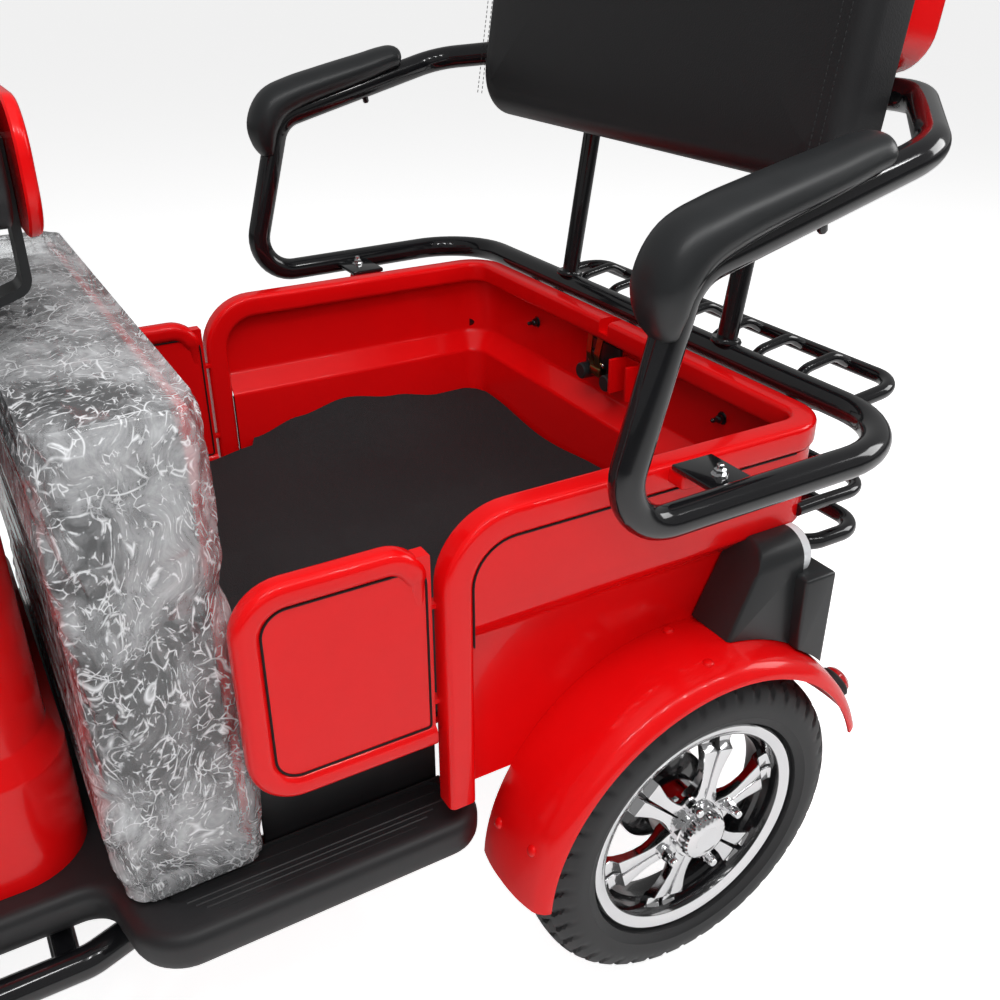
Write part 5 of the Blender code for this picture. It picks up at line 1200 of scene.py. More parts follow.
def rivet(x, angle, radius):
    out = Vector((0, math.cos(angle), math.sin(angle)))
    start = Vector((x, 0, AXLE_Z)) + out * (radius - 0.001)
    return lathe(
        [(0, 0.0065), (0.0012, 0.0062), (0.0026, 0.0048), (0.0034, 0.0026), (0.0036, 0.0008)], start, out,
        20
    )


for side, name in ((1, "left"), (-1, "right")):
    skin_shape = fender(
        LOWER_HALF + GAP, 0.4510, FENDER_RADIUS, 0.006, 0.024, 0.012, 0.0025, math.radians(20),
        math.radians(177), (0, 0, AXLE_Z)
    )
    rivets = [rivet(0.376, math.radians(163), 0.2372), rivet(0.434, math.radians(160.5), 0.2352)]
    rivets += [rivet(0.368, math.radians(92), 0.2368), rivet(0.434, math.radians(92), 0.2350)]
    shapes = [skin_shape] + rivets
    if side < 0:
        shapes = [mirrored(shape) for shape in shapes]
    piece("fender_" + name, "red", "chassis", shapes, ["rear_fender_" + name], sharp=50)


# %% [markdown]
# The housing is a wedge with a half-round crest and a squarer box behind it. Two Boolean cuts
# fit it to the fender's curve and to the tub's swage, as the real moulding is trimmed.

# %% Lamps and reflectors
def beside_tub():
    low, high = LOWER_HALF + GAP, TUB_HALF - 0.0025 + GAP
    section = [
        (low - 0.05, 0.30), (low, 0.30), (low, SWAGE_LOW),
        (high, SWAGE_HIGH), (high, 0.70), (low - 0.05, 0.70),
    ]
    return skin([[(x, y, z) for x, z in section] for y in (-0.06, 0.24)])


def over_fender():
    radius = (FENDER_RADIUS + GAP) / math.cos(math.pi / 120)
    return turned(
        [(LOWER_HALF - 0.01, 0.05), (0.50, 0.05), (0.50, radius), (LOWER_HALF - 0.01, radius)], 120,
        (0, 0, AXLE_Z)
    )


def lamp_body():
    """A wedge with a half-round crest, and a squarer box behind it."""
    low_x, foot = LOWER_HALF + GAP, AXLE_Z + 0.19
    mid, crest, half = low_x + 0.032, LAMP_CREST, 0.030
    front_out = low_x + 0.067
    outline = [(low_x, foot), (front_out, foot)] + arc((mid, crest), half, 0.0, math.pi, 18)
    rings = []
    for depth, inset in ((0.0, 0.004), (0.0012, 0.0015), (0.004, 0.0), (None, 0.0)):
        ring = []
        for x, z in outline:
            share = (z - foot) / (0.540 - foot)
            y = 0.132 if depth is None else 0.012 + 0.066 * share + depth
            centre_x, centre_z = (low_x + front_out) / 2, (foot + 0.54) / 2
            ring.append((x + (centre_x - x) * inset / 0.03, y, z + (centre_z - z) * inset / 0.07))
        rings.append(ring)
    wedge = skin(rings)
    box = block((low_x, 0.122, foot - 0.03), (front_out + 0.013, 0.166, 0.495), 0.004, 3)
    return [wedge, box]


for side, name in ((1, "left"), (-1, "right")):
    parts = [carved(shape, [over_fender(), beside_tub()]) for shape in lamp_body()]
    low_x = LOWER_HALF + GAP
    mid, crest = low_x + 0.032, LAMP_CREST
    rim = carved(
        lathe(
            [(0.0003, 0.0295), (0.010, 0.0295), (0.012, 0.028), (0.0125, 0.024), (0.011, 0.0225)],
            (mid, 0.132, crest), (0, 1, 0), 48
        ),
        [beside_tub()]
    )
    dome = carved(
        lathe(
            [(0.001, 0.0225), (0.0100, 0.0225), (0.0125, 0.017), (0.0135, 0.009), (0.0138, 0.002)],
            (mid, 0.132, crest), (0, 1, 0), 48
        ),
        [beside_tub()]
    )
    strip = block((low_x + 0.008, 0.1665, 0.415), (low_x + 0.068, 0.1742, 0.485), 0.002)
    reflector_out = Vector((0, math.cos(math.radians(26)), math.sin(math.radians(26))))
    base = Vector((TRACK_HALF + 0.006, 0, AXLE_Z)) + reflector_out * 0.2381
    boot = lathe([(0.0, 0.0165), (0.002, 0.020), (0.008, 0.0205), (0.010, 0.019)], base, reflector_out, 32)
    jewel = lathe(
        [(0.009, 0.0175), (0.014, 0.0172), (0.018, 0.0135), (0.0205, 0.007), (0.021, 0.002)], base,
        reflector_out, 32
    )
    groups = [parts, [rim], [dome], [strip], [boot], [jewel]]
    if side < 0:
        groups = [[mirrored(shape) for shape in group] for group in groups]
    piece("lamp_" + name, "satin", "chassis", groups[0], ["lamp_housing_" + name], sharp=38)
    piece("lamp_rim_" + name, "clear", "chassis", groups[1], ["turn_lens_" + name])
    piece("lamp_dome_" + name, "amber", "chassis", groups[2])
    piece("tail_strip_" + name, "tail", "chassis", groups[3], ["tail_lens_" + name])
    piece("reflector_boot_" + name, "grip", "chassis", groups[4], ["reflector_" + name])
    piece("reflector_jewel_" + name, "tail", "chassis", groups[5])
print("fenders and lamps done")

# %% [markdown]
# ## Wheels
# The tyre carries a block tread and fine rings on its walls. The casting has six spokes, each
# split by a groove and ending in two stepped fingers, over a black barrel.

# %% Tyre
def tread_depth(share, angle):
    """How deep the tread is cut, in metres, at a place across the tyre and round it."""
    pitches = 44
    phase = (angle * pitches / (2 * math.pi)) % 1.0
    across = abs(share)
    if across < 0.10:
        return 0.0
    if across < 0.17:
        return 0.0035
    slant = (phase + across * 0.9 * (1 if share > 0 else -1)) % 1.0
    if across < 0.52:
        return 0.0035 if slant < 0.20 else 0.0
    if across < 0.60:
        return 0.0035
    if across < 1.05:
        return 0.0040 if (slant + 0.5) % 1.0 < 0.26 else 0.0
    return 0.0


def tyre():
    half, seat = TYRE_WIDTH / 2, RIM_WIDTH / 2 - 0.0065
    height = TYRE_RADIUS - FLANGE_RADIUS
    outer = []
    for i in range(33):
        share = -1 + i / 16
        x = half * 0.88 * math.sin(share * 1.18) / math.sin(1.18)
        outer.append((x, TYRE_RADIUS - 0.0175 * abs(share) ** 2.3, share))
    wall = [
        (half * 0.955, FLANGE_RADIUS + 0.60 * height), (half * 0.992, FLANGE_RADIUS + 0.48 * height),
        (half, FLANGE_RADIUS + 0.38 * height), (half * 0.985, FLANGE_RADIUS + 0.28 * height),
        (half * 0.985, FLANGE_RADIUS + 0.235 * height), (half * 0.945, FLANGE_RADIUS + 0.20 * height),
        (half * 0.90, FLANGE_RADIUS + 0.13 * height), (half * 0.86, FLANGE_RADIUS + 0.07 * height),
        (seat + 0.0032, FLANGE_RADIUS + 0.004), (seat, FLANGE_RADIUS + 0.001),
        (seat - 0.0005, BEAD_RADIUS + 0.0005),
    ]
    profile = [(-x, r, None) for x, r in reversed(wall)] + outer + [(x, r, None) for x, r in wall]
    rings = []
    steps = 440
    for i in range(steps):
        angle = 2 * math.pi * i / steps
        ring = []
        for x, r, share in profile:
            depth = tread_depth(share * 1.04, angle) if share is not None else 0.0
            ring.append((x, (r - depth) * math.cos(angle), (r - depth) * math.sin(angle)))
        rings.append(ring)
    return skin(rings, closed_route=True)


# %% [markdown]
# The wheel is cast and then machined bright over a black barrel. Each spoke is two mirrored
# prongs skinned through stations along the radius, so that they flare, narrow and step down.

# %% Casting
def barrel():
    half, seat, wall = RIM_WIDTH / 2, RIM_WIDTH / 2 - 0.0065, 0.006
    side = [
        (seat, BEAD_RADIUS), (half - 0.004, BEAD_RADIUS + 0.004), (half - 0.004, BEAD_RADIUS - 0.002),
        (half - 0.012, BEAD_RADIUS - wall)
    ]
    line = side + [
        (0.008, BEAD_RADIUS - wall), (0.004, BEAD_RADIUS - wall - 0.004),
        (-0.004, BEAD_RADIUS - wall - 0.004), (-0.008, BEAD_RADIUS - wall)
    ]
    line += [(-x, r) for x, r in reversed(side)]
    return turned(line, 128)


def lips():
    half = RIM_WIDTH / 2
    ring = [
        (half - 0.005, BEAD_RADIUS + 0.0005), (half - 0.0045, FLANGE_RADIUS - 0.003),
        (half - 0.0035, FLANGE_RADIUS),
        (half - 0.001, FLANGE_RADIUS), (half, FLANGE_RADIUS - 0.0015), (half - 0.0005, BEAD_RADIUS + 0.006),
        (half - 0.003, BEAD_RADIUS + 0.002), (half - 0.004, BEAD_RADIUS - 0.001),
    ]
    return [turned(ring, 128), turned([(-x, r) for x, r in reversed(ring)], 128)]


def spoke_half(sign):
    """One prong of a spoke: it flares at the hub, narrows, then steps down to the rim."""
    stations = [
        # radius, inner edge, outer edge, face, back
        (0.030, 0.0000, 0.0185, 0.0290, 0.0080), (0.040, 0.0008, 0.0170, 0.0290, 0.0090),
        (0.048, 0.0010, 0.0142, 0.0285, 0.0120), (0.056, 0.0012, 0.0130, 0.0278, 0.0140),
        (0.066, 0.0014, 0.0132, 0.0270, 0.0150), (0.078, 0.0016, 0.0152, 0.0262, 0.0150),
        (0.090, 0.0018, 0.0186, 0.0256, 0.0140), (0.0985, 0.0020, 0.0212, 0.0254, 0.0120),
        (0.1020, 0.0026, 0.0220, 0.0250, 0.0110), (0.1060, 0.0032, 0.0222, 0.0185, 0.0080),
        (0.1090, 0.0032, 0.0222, 0.0165, 0.0070), (0.1180, 0.0032, 0.0222, 0.0170, 0.0060),
        (0.1215, 0.0032, 0.0222, 0.0195, 0.0060), (0.1245, 0.0032, 0.0222, 0.0255, 0.0060),
    ]
    edge = 0.0011
    rings = []
    for radius, near, far, face_x, back_x in stations:
        points = [
            (back_x, near), (face_x - edge, near), (face_x - edge * 0.3, near + edge * 0.3),
            (face_x, near + edge),
            (face_x, far - edge), (face_x - edge * 0.3, far - edge * 0.3), (face_x - edge, far),
            (back_x, far * 0.93),
        ]
        rings.append([Vector((x, radius, sign * w)) for x, w in points])
    return skin(rings)


def wheel_star(turn=math.radians(15)):
    shapes = []
    for i in range(6):
        matrix = Matrix.Rotation(turn + 2 * math.pi * i / 6, 4, "X")
        for sign in (1, -1):
            shapes.append(moved(spoke_half(sign), matrix))
    return shapes


def hub(reach=0.020):
    face_x = RIM_WIDTH / 2
    shapes = [
        lathe([(-face_x, 0.036), (0.0275, 0.0375), (0.0292, 0.0355)], (0, 0, 0), (1, 0, 0), 64),
        lathe(
            [
                (0.0270, 0.0345), (face_x + 0.004, 0.0345), (face_x + 0.0055, 0.0330),
                (face_x + 0.0055, 0.0300)
            ],
            (0, 0, 0), (1, 0, 0), 64
        ),
    ]
    rings = []
    for distance, radius, rib in (
        (face_x + 0.004, 0.0300, 0), (face_x + 0.006, 0.0302, 1), (face_x + reach * 0.66, 0.0290, 1),
        (face_x + reach * 0.78, 0.0270, 0), (face_x + reach * 0.93, 0.0215, 0),
        (face_x + reach * 0.97, 0.0175, 0), (face_x + reach * 0.93, 0.0160, 0),
        (face_x + reach * 0.93, 0.004, 0)
    ):
        ring = []
        steps = 144
        for i in range(steps):
            angle = 2 * math.pi * i / steps
            size = radius - (0.0018 if rib and (i // 3) % 2 else 0.0)
            ring.append((distance, size * math.cos(angle), size * math.sin(angle)))
        rings.append(ring)
    shapes.append(skin(rings))
    for i in range(4):
        angle = math.radians(18) + math.pi / 2 * i
        foot = Vector((0.026, 0.047 * math.cos(angle), 0.047 * math.sin(angle)))
        shapes.append(lathe([(0, 0.0088), (0.0045, 0.0088), (0.0060, 0.0078)], foot, (1, 0, 0), 24))
        shapes.append(lathe([(0.005, 0.0072), (0.013, 0.0069)], foot, (1, 0, 0), 6))
        shapes.append(
            lathe(
                [(0.012, 0.0060), (0.0225, 0.0055), (0.0245, 0.0044), (0.0248, 0.0025)], foot, (1, 0, 0),
                24
            )
        )
    return shapes


def drum():
    face_x = RIM_WIDTH / 2
    return lathe(
        [(0, 0.056), (0.003, 0.060), (0.026, 0.060), (0.034, 0.045)], (-face_x - 0.026, 0, 0), (1, 0, 0),
        64
    )


def valve():
    angle = math.radians(75)
    foot = Vector((0.012, 0.121 * math.cos(angle), 0.121 * math.sin(angle)))
    return lathe(
        [(0, 0.004), (0.012, 0.003), (0.020, 0.0028), (0.021, 0.002)], foot,
        (0.5, -math.cos(angle), -math.sin(angle)), 12
    )


for label, place, body, flip in (
    ("rear_left", Vector((TRACK_HALF, 0, AXLE_Z)), "rear_left_wheel", False),
    ("rear_right", Vector((-TRACK_HALF, 0, AXLE_Z)), "rear_right_wheel", True),
    ("front", FRONT_HUB, "front_wheel", False),
):
    matrix = Matrix.Translation(place) @ Matrix.Rotation(math.pi if flip else 0.0, 4, "Z")
    well = [barrel()] + ([drum()] if label != "front" else [])
    piece("tread_" + label, "tyre", body, [moved(tyre(), matrix)], ["tyre_" + label], sharp=32)
    piece("well_" + label, "well", body, [moved(shape, matrix) for shape in well], ["rim_" + label], sharp=35)
    piece(
        "star_" + label, "alloy", body, [moved(shape, matrix) for shape in wheel_star() + lips() + hub()],
        sharp=28
    )
    piece("valve_" + label, "grip", body, [moved(valve(), matrix)])
print("wheels done")

# %% [markdown]
# ## Footwell, running boards and chassis
# The footwell and both running boards are one black moulding, rolled over at its edges. An
# outline lifted through a few levels gives that edge exactly. Ribs and a long pad recess keep
# shoes from slipping.

# %% Floor moulding
def floor_outline(grow=0.0, steps=10):
    half = [
        (0.0, -1.400 - grow), (0.180, -1.400 - grow), (0.280 + grow, -1.300), (0.280 + grow, -0.610),
        (0.385 + grow, -0.590),
        (0.385 + grow, -0.240 + grow), (0.300, -0.240 + grow), (0.300, TUB_FLOOR_FRONT),
        (0.0, TUB_FLOOR_FRONT),
    ]
    flat = flat_fillet(half, [0, 0.06, 0.06, 0.03, 0.055, 0.055, 0, 0, 0], steps)
    return flat + [(-x, y) for x, y in reversed(flat[1:-1])]


def bullnose_plate(outline, base, top, under, over, steps=6):
    """A flat outline given thickness along Z, rolled over at its top and, more, at its foot."""
    count = len(outline)
    shape_rings = []
    levels = [
        (under * (1 - math.sin(a)), base + under * (1 - math.cos(a)))
        for a in (math.pi / 2 * i / steps for i in range(steps + 1))
    ]
    levels += [
        (over * (1 - math.cos(a)), top - over * (1 - math.sin(a)))
        for a in (math.pi / 2 * i / steps for i in range(steps + 1))
    ]
    for inset, z in levels:
        ring = []
        for i, (x, y) in enumerate(outline):
            before, after = Vector(outline[i - 1]), Vector(outline[(i + 1) % count])
            outward = Vector((after.y - before.y, before.x - after.x)).normalized()
            ring.append((x - outward.x * inset, y - outward.y * inset, z))
        shape_rings.append(ring)
    return skin(shape_rings)


def floor_moulding():
    pan = bullnose_plate(floor_outline(), FLOOR_TOP - 0.050, FLOOR_TOP, 0.024, 0.014)
    cutters = []
    for side in (1, -1):
        plan = [p for p, _ in ring_plan(0.0135, -0.560, -0.268, 0.011, 6)]
        ring = [(side * (0.3235 + x), y) for x, y in plan]
        cutters.append(
            skin(
                [
                    [(x, y, FLOOR_TOP - 0.0035) for x, y in ring],
                    [(x, y, FLOOR_TOP + 0.01) for x, y in ring]
                ]
            )
        )
    pan = carved(pan, cutters)
    ribs = []
    for side in (1, -1):
        rib_lines = (
            (0.3415, -0.545, -0.275), (0.3485, -0.538, -0.290),
            (0.3555, -0.530, -0.300), (0.3625, -0.520, -0.315),
        )
        for x, y0, y1 in rib_lines:
            ribs.append(
                tube(
                    [(side * x, y0, FLOOR_TOP - 0.0004), (side * x, y1, FLOOR_TOP - 0.0004)], 0.0014,
                    sides=8
                )
            )
        ribs.append(
            tube(
                [
                    (side * 0.3235, -0.556, FLOOR_TOP - 0.0032),
                    (side * 0.3235, -0.275, FLOOR_TOP - 0.0032)
                ],
                0.0016, sides=8
            )
        )
        ribs.append(
            tube(
                [(side * 0.3085, -0.560, FLOOR_TOP), (side * 0.3085, -0.262, FLOOR_TOP)], 0.0016, sides=8
            )
        )
    riser = block(
        (-0.280, TUB_FLOOR_FRONT - 0.007, FLOOR_TOP - 0.02),
        (0.280, TUB_FLOOR_FRONT - 0.001, TUB_FLOOR - 0.0045), 0.001
    )
    for side in (1, -1):
        x0, x1 = sorted((side * 0.296, side * 0.302))
        ribs.append(block((x0, TUB_FLOOR_FRONT, FLOOR_TOP - 0.01), (x1, -0.262, TUB_FLOOR - 0.0045), 0.001))
    return [pan, riser] + ribs


piece("floor_moulding", "moulded", "chassis", floor_moulding(), ["floor_pan"], sharp=45)


# %% [markdown]
# The frame is round tube bent in one plane at a time. Its side rails kick up behind the footwell
# to pass over the axle, and cross tubes tie them together.

# %% Chassis tubes
RAIL_Z, REAR_RAIL_Z, FRONT_TUBE_Y = 0.2337, 0.3857, -1.4224


def chassis():
    kick, end = TUB_FLOOR_FRONT + 0.020, 0.151
    rail = fillet(
        [
            (0.0, FRONT_TUBE_Y, RAIL_Z), (0.180, FRONT_TUBE_Y, RAIL_Z), (0.300, FRONT_TUBE_Y + 0.120, RAIL_Z),
            (0.300, BARREL_REAR - 0.030, RAIL_Z), (0.250, kick - 0.060, RAIL_Z),
            (0.250, kick + 0.020, RAIL_Z),
            (0.250, kick + 0.120, REAR_RAIL_Z), (0.250, end, REAR_RAIL_Z),
        ],
        0.05,
    )
    shapes = both_sides(tube(rail, 0.016, start=(0, 0, 1)))
    for y in (-1.2, BARREL_FRONT + 0.10, BARREL_REAR - 0.05):
        shapes.append(cylinder((-0.300, y, RAIL_Z), (0.300, y, RAIL_Z), 0.013))
    for y in (-0.16, end - 0.030):
        shapes.append(cylinder((-0.250, y, REAR_RAIL_Z), (0.250, y, REAR_RAIL_Z), 0.013))
    riser = fillet([(0, FRONT_TUBE_Y, RAIL_Z), (0, FRONT_TUBE_Y, 0.42), axis_point(0.449)], 0.08, 12)
    shapes.append(tube(riser, 0.0184))
    shapes.append(lathe([(0, 0.024), (0.140, 0.024)], axis_point(0.400), STEER_UP, 40))
    for z0 in (0.400, 0.528):
        shapes.append(
            lathe(
                [(0, 0.0255), (0.001, 0.027), (0.011, 0.027), (0.012, 0.0255)], axis_point(z0), STEER_UP,
                40
            )
        )
    eye_z = 0.30985
    for y in (-0.185, 0.128):
        shapes += both_sides(
            block((0.228, y - 0.014, eye_z + 0.0113), (0.272, y + 0.014, REAR_RAIL_Z), 0.002)
        )
    return shapes


piece("chassis_tubes", "tube", "chassis", chassis(), ["chassis_frame"], sharp=45)


# %% [markdown]
# Each spring is a pack of three curved leaves between two eyes. The axle tube carries a turned
# gear case, a finned motor and a plate behind each wheel.

# %% Springs and rear axle
def springs():
    eye_z, seat_z = 0.30985, AXLE_Z + 0.022 + 0.008 + 0.0073
    shapes = []
    for reach, drop in ((1.0, 0.0), (0.78, -0.0046), (0.52, -0.0092)):
        route = []
        for i in range(25):
            share = (-1 + i / 12) * reach
            y = -share * -0.185 if share < 0 else share * 0.128
            route.append((0.250, y, seat_z + 0.0046 + drop + (eye_z - seat_z) * share * share))
        section = [(0.020, 0.0021), (-0.020, 0.0021), (-0.020, -0.0021), (0.020, -0.0021)]
        shapes.append(swept(route, section))
    for y in (-0.185, 0.128):
        shapes.append(pin((0.230, y, eye_z), (0.270, y, eye_z), 0.010))
    for y in (-0.022, 0.022):
        shapes.append(block((0.226, y - 0.004, AXLE_Z + 0.02), (0.274, y + 0.004, seat_z + 0.008), 0.001))
    return shapes


def rear_axle():
    centre = Vector((0, 0, AXLE_Z))
    shapes = [cylinder((-0.335, 0, AXLE_Z), (0.335, 0, AXLE_Z), 0.022, 32)]
    shapes.append(
        lathe(
            [
                (-0.055, 0.026), (-0.045, 0.045), (-0.028, 0.066), (0.0, 0.070), (0.028, 0.066),
                (0.045, 0.045), (0.055, 0.026)
            ],
            centre, (1, 0, 0), 48
        )
    )
    rings = [(0.0, 0.046), (0.025, 0.055), (0.030, 0.058)]
    for i in range(9):
        rings += [
            (0.040 + i * 0.014, 0.058), (0.043 + i * 0.014, 0.0555), (0.048 + i * 0.014, 0.0555),
            (0.051 + i * 0.014, 0.058)
        ]
    rings += [(0.172, 0.057), (0.182, 0.041)]
    shapes.append(lathe(rings, centre + Vector((0, -0.042, 0)), (0, -1, 0), 48))
    for side in (1, -1):
        shapes.append(cylinder((side * 0.3365, 0, AXLE_Z), (side * 0.3425, 0, AXLE_Z), 0.066, 48))
        shapes.append(
            block(
                (side * 0.250 - 0.022, -0.035, AXLE_Z), (side * 0.250 + 0.022, 0.035, AXLE_Z + 0.030),
                0.002
            )
        )
    return shapes


piece("spring_packs_left", "iron", "chassis", springs(), ["leaf_spring_left"])
piece(
    "spring_packs_right", "iron", "chassis", [mirrored(shape) for shape in springs()],
    ["leaf_spring_right"]
)
piece("axle_and_motor", "iron", "chassis", rear_axle(), ["rear_axle"])
print("floor and chassis done")

# %% [markdown]
# ## Seat box and rider's seat
# The seat box is wider at its foot. A cushion and a back hang on a lid that tips forward.

# %% Seat box
def seat_box():
    low = FLOOR_TOP + GAP
    shoulder, set_in = low + 0.120, 0.012
    section = [
        (0.0, low), (0.0, shoulder), (-set_in, shoulder + 0.028), (-set_in, 0.700), (-set_in - 0.022, 0.700),
        (-set_in - 0.022, 0.695), (-set_in - 0.005, 0.695), (-set_in - 0.005, shoulder + 0.028),
        (-0.005, shoulder), (-0.005, low),
    ]
    section = flat_fillet(section, [0, 0.012, 0.012, 0.004, 0, 0, 0, 0.008, 0.008, 0], 5)
    rings = []
    for (x, y), (nx, ny) in ring_plan(0.250, BARREL_FRONT, BARREL_REAR, 0.070, 14):
        rings.append([(x + nx * offset, y + ny * offset, z) for offset, z in section])
    return skin(rings, closed_route=True)


piece("seat_box", "red", "chassis", [seat_box()], ["seat_barrel"], sharp=40)
battery = [block((-0.170, -0.930, FLOOR_TOP + GAP), (0.170, -0.660, 0.492), 0.006)]
battery += [block((x - 0.012, -0.80, 0.490), (x + 0.012, -0.78, 0.500), 0.002) for x in (-0.12, 0.12)]
piece("battery_case", "satin", "chassis", battery, ["battery_block"])
hasp = [
    block((0.2385, -0.655, 0.655), (0.2505, -0.625, 0.695), 0.002),
    block((0.2485, -0.650, 0.640), (0.2525, -0.630, 0.672), 0.0015)
]
piece("seat_hasp", "satin", "chassis", hasp)


# %% [markdown]
# The cushion, its lid and the back tip forward together, so all of them ride on the seat's own
# body. The cushion is built of closing rings with a soft crown.

# %% Rider's seat
def seat_pad(half, front, rear, low, height, corner):
    rings = []
    profile = [(0.006, 0.0), (0.001, 0.006), (0.0, 0.014)]
    for i in range(9):
        angle = math.pi / 2 * i / 8
        profile.append((0.028 * (1 - math.cos(angle)), height - 0.028 * (1 - math.sin(angle))))
    for inset, rise in profile:
        rings.append(
            [
                (x, y, low + rise) for (x, y),
                _ in ring_plan(half - inset, front + inset, rear - inset, max(corner - inset, 0.01), 12)
            ]
        )
    middle, half_y = (front + rear) / 2, (rear - front) / 2
    for i in range(1, 15):
        inset = 0.028 + (min(half, half_y) - 0.030) * i / 14
        ring = []
        for (x, y), _ in ring_plan(
            half - inset, front + inset, rear - inset,
            max(corner - inset, 0.004 * (15 - i) / 14 + 0.0005), 12
        ):
            edge = min(half - abs(x), half_y - abs(y - middle))
            ring.append((x, y, low + height + 0.006 * (1 - math.exp(-max(edge - 0.028, 0) / 0.03))))
        rings.append(ring)
    return skin(rings)


LID_LOW = 0.7003
lid_plan = [p for p, _ in ring_plan(0.234, -0.971, -0.619, 0.058, 12)]
lid = [rounded_plate(lid_plan, LID_LOW, LID_LOW + 0.014, 0.004)]
for side in (1, -1):
    route = fillet(
        [
            (side * 0.11, -0.779, 0.7155), (side * 0.11, -0.6128, 0.7155), (side * 0.11, -0.6128, 0.814),
            (side * 0.11, -0.5463, 0.836), (side * 0.11, -0.5463, 0.960)
        ],
        0.014, 6
    )
    lid.append(swept(route, [(0.016, 0.0039), (-0.016, 0.0039), (-0.016, -0.0039), (0.016, -0.0039)]))
piece("seat_lid", "satin", "driver_seat", lid, ["driver_seat_lid"])
pad = piece(
    "rider_cushion", "leather", "driver_seat", [seat_pad(0.235, -0.975, -0.6308, 0.7148, 0.080, 0.060)],
    ["driver_cushion"], sharp=70
)
rider_back = cushion_shape(0.186, 0.893, 0.990, -0.6100, -0.5506, 0.042, 0.018, 0.0, steps=12)
pad = piece("rider_back_pad", "leather", "driver_seat", [rider_back], ["driver_back_cushion"], sharp=70)


def rider_back_cover():
    """The red back of the rider's seat: a rolled rim, a stepped field and two small bolts."""
    middle, half_z, half = 0.9410, 0.0560, 0.193
    profile = [
        (0.002, -0.5418), (0.0, -0.5400), (0.0, -0.5345), (0.0015, -0.5315), (0.004, -0.5302),
        (0.014, -0.5300), (0.018, -0.5330), (0.020, -0.5345), (half_z - 0.001, -0.5345)
    ]
    rings = []
    for inset, y in profile:
        plan = ring_plan(
            half - inset, -(half_z - inset), half_z - inset,
            max(min(0.045 - inset, half_z - inset - 0.0004), 0.0005), 12
        )
        rings.append([(x, y, middle + z) for (x, z), _ in plan])
    shapes = [skin(rings)]
    for x in (-0.165, 0.165):
        for z in (0.925, 0.950):
            shapes.append(
                lathe([(0, 0.008), (0.002, 0.0075), (0.004, 0.005)], (x, -0.5347, z), (0, 1, 0), 20)
            )
    return shapes


piece("rider_back_cover", "red", "driver_seat", rider_back_cover(), ["driver_back_shell"], sharp=40)
print("rider's seat done")

# %% [markdown]
# ## The wrapped bench
# The passenger bench stands on its end in the footwell. Clear film is drawn round it in loose
# folds, gathered below and pulled tight over the corners.

# %% Bench
BENCH_LOW, BENCH_TOP = FLOOR_TOP + GAP, FLOOR_TOP + GAP + 0.480
BENCH_REAR = TUB_FLOOR_FRONT - 0.008
base_front = BENCH_REAR - 0.012
board = block((-0.305, base_front, BENCH_LOW + 0.004), (0.305, BENCH_REAR - 0.003, BENCH_TOP - 0.006), 0.003)
piece("bench_board", "red", "chassis", [board], ["bench_base"])
bench_pad = cushion_shape(
    0.304, BENCH_LOW + 0.008, BENCH_TOP - 0.010, base_front - 0.112, base_front - GAP, 0.045, 0.034, 0.006
)
pad = piece("bench_pad", "leather", "chassis", [bench_pad], ["bench_cushion"], sharp=70)


# %% [markdown]
# Loose film follows the bench in ridges of several sizes. Cloth simulation would fold it more
# freely but takes long and is hard to repeat. Layered noise gives the same folds each time, and
# the material's creases do the rest.

# %% Film
def crumple(point, seed):
    """Sharp-edged folds: ridges of several sizes laid over each other."""
    value, scale, weight = 0.0, 9.0, 1.0
    for octave in range(4):
        sample = noise.noise(point * scale + Vector((seed + octave * 7.3, 1.7, 4.1)))
        value += weight * (1.0 - 2.0 * abs(sample)) ** 2
        scale *= 2.05
        weight *= 0.52
    return value


def wrap(seed, swell):
    """A loose sleeve round the bench, in rings that climb from the foot to the top."""
    rows, sides = 150, 260
    middle_y = (BENCH_REAR + base_front - 0.118) / 2
    half_y = (BENCH_REAR - base_front + 0.118) / 2
    outline = [p for p, _ in ring_plan(0.334, -half_y - 0.008, half_y + 0.008, 0.034, sides // 4 - 1)]
    rings = []
    for j in range(rows + 1):
        share = j / rows
        z = BENCH_LOW + 0.003 + (BENCH_TOP + 0.004 - BENCH_LOW - 0.003) * share
        gather = 1.0 - 0.02 * max(
            0.0, (0.10 - share) / 0.10
        ) ** 2 - 0.03 * max(0.0, (share - 0.93) / 0.07) ** 2
        ring = []
        for x, y in outline:
            here = Vector((x, y * 1.4, z + 0.35 * x))
            fold = crumple(here, seed)
            slow = noise.noise(Vector((x * 3, y * 3, z * 4)) + Vector((seed, 0, 0)))
            push = 1.0 + swell * (0.010 + 0.034 * slow)
            depth = 0.0075 * fold * swell
            direction = Vector((x / 0.312, y / half_y)).normalized()
            ahead = max(0.0, min(1.0, (0.030 - y) / 0.050))
            bulge = 0.034 * ahead * math.sin(min(1.0, (1 - share) * 1.35) * math.pi) ** 1.5
            px = x * gather * push - direction.x * depth * 0.7
            px += math.copysign(bulge, x) * min(1.0, abs(x) / 0.3) ** 4
            py = min(y * gather * (1 + (push - 1) * 2.2) - direction.y * depth, half_y + 0.0045)
            ring.append((px, middle_y + py, z + 0.004 * noise.noise(here * 6)))
        rings.append(ring)
    top = rings[-1]
    for k in range(1, 22):
        share = k / 21
        ring = []
        for x, y, z in top:
            flat = Vector((x, y, 0)).lerp(Vector((x * 0.55, middle_y, 0)), share)
            fold = crumple(Vector((flat.x, flat.y * 1.4, 1.1)), seed)
            dome = 0.010 * math.sin(min(share * 2, 1) * math.pi / 2)
            ring.append((flat.x, flat.y, BENCH_TOP + 0.002 + dome - 0.006 * fold * swell * 0.6))
        rings.append(ring)
    return skin(rings, capped=False)


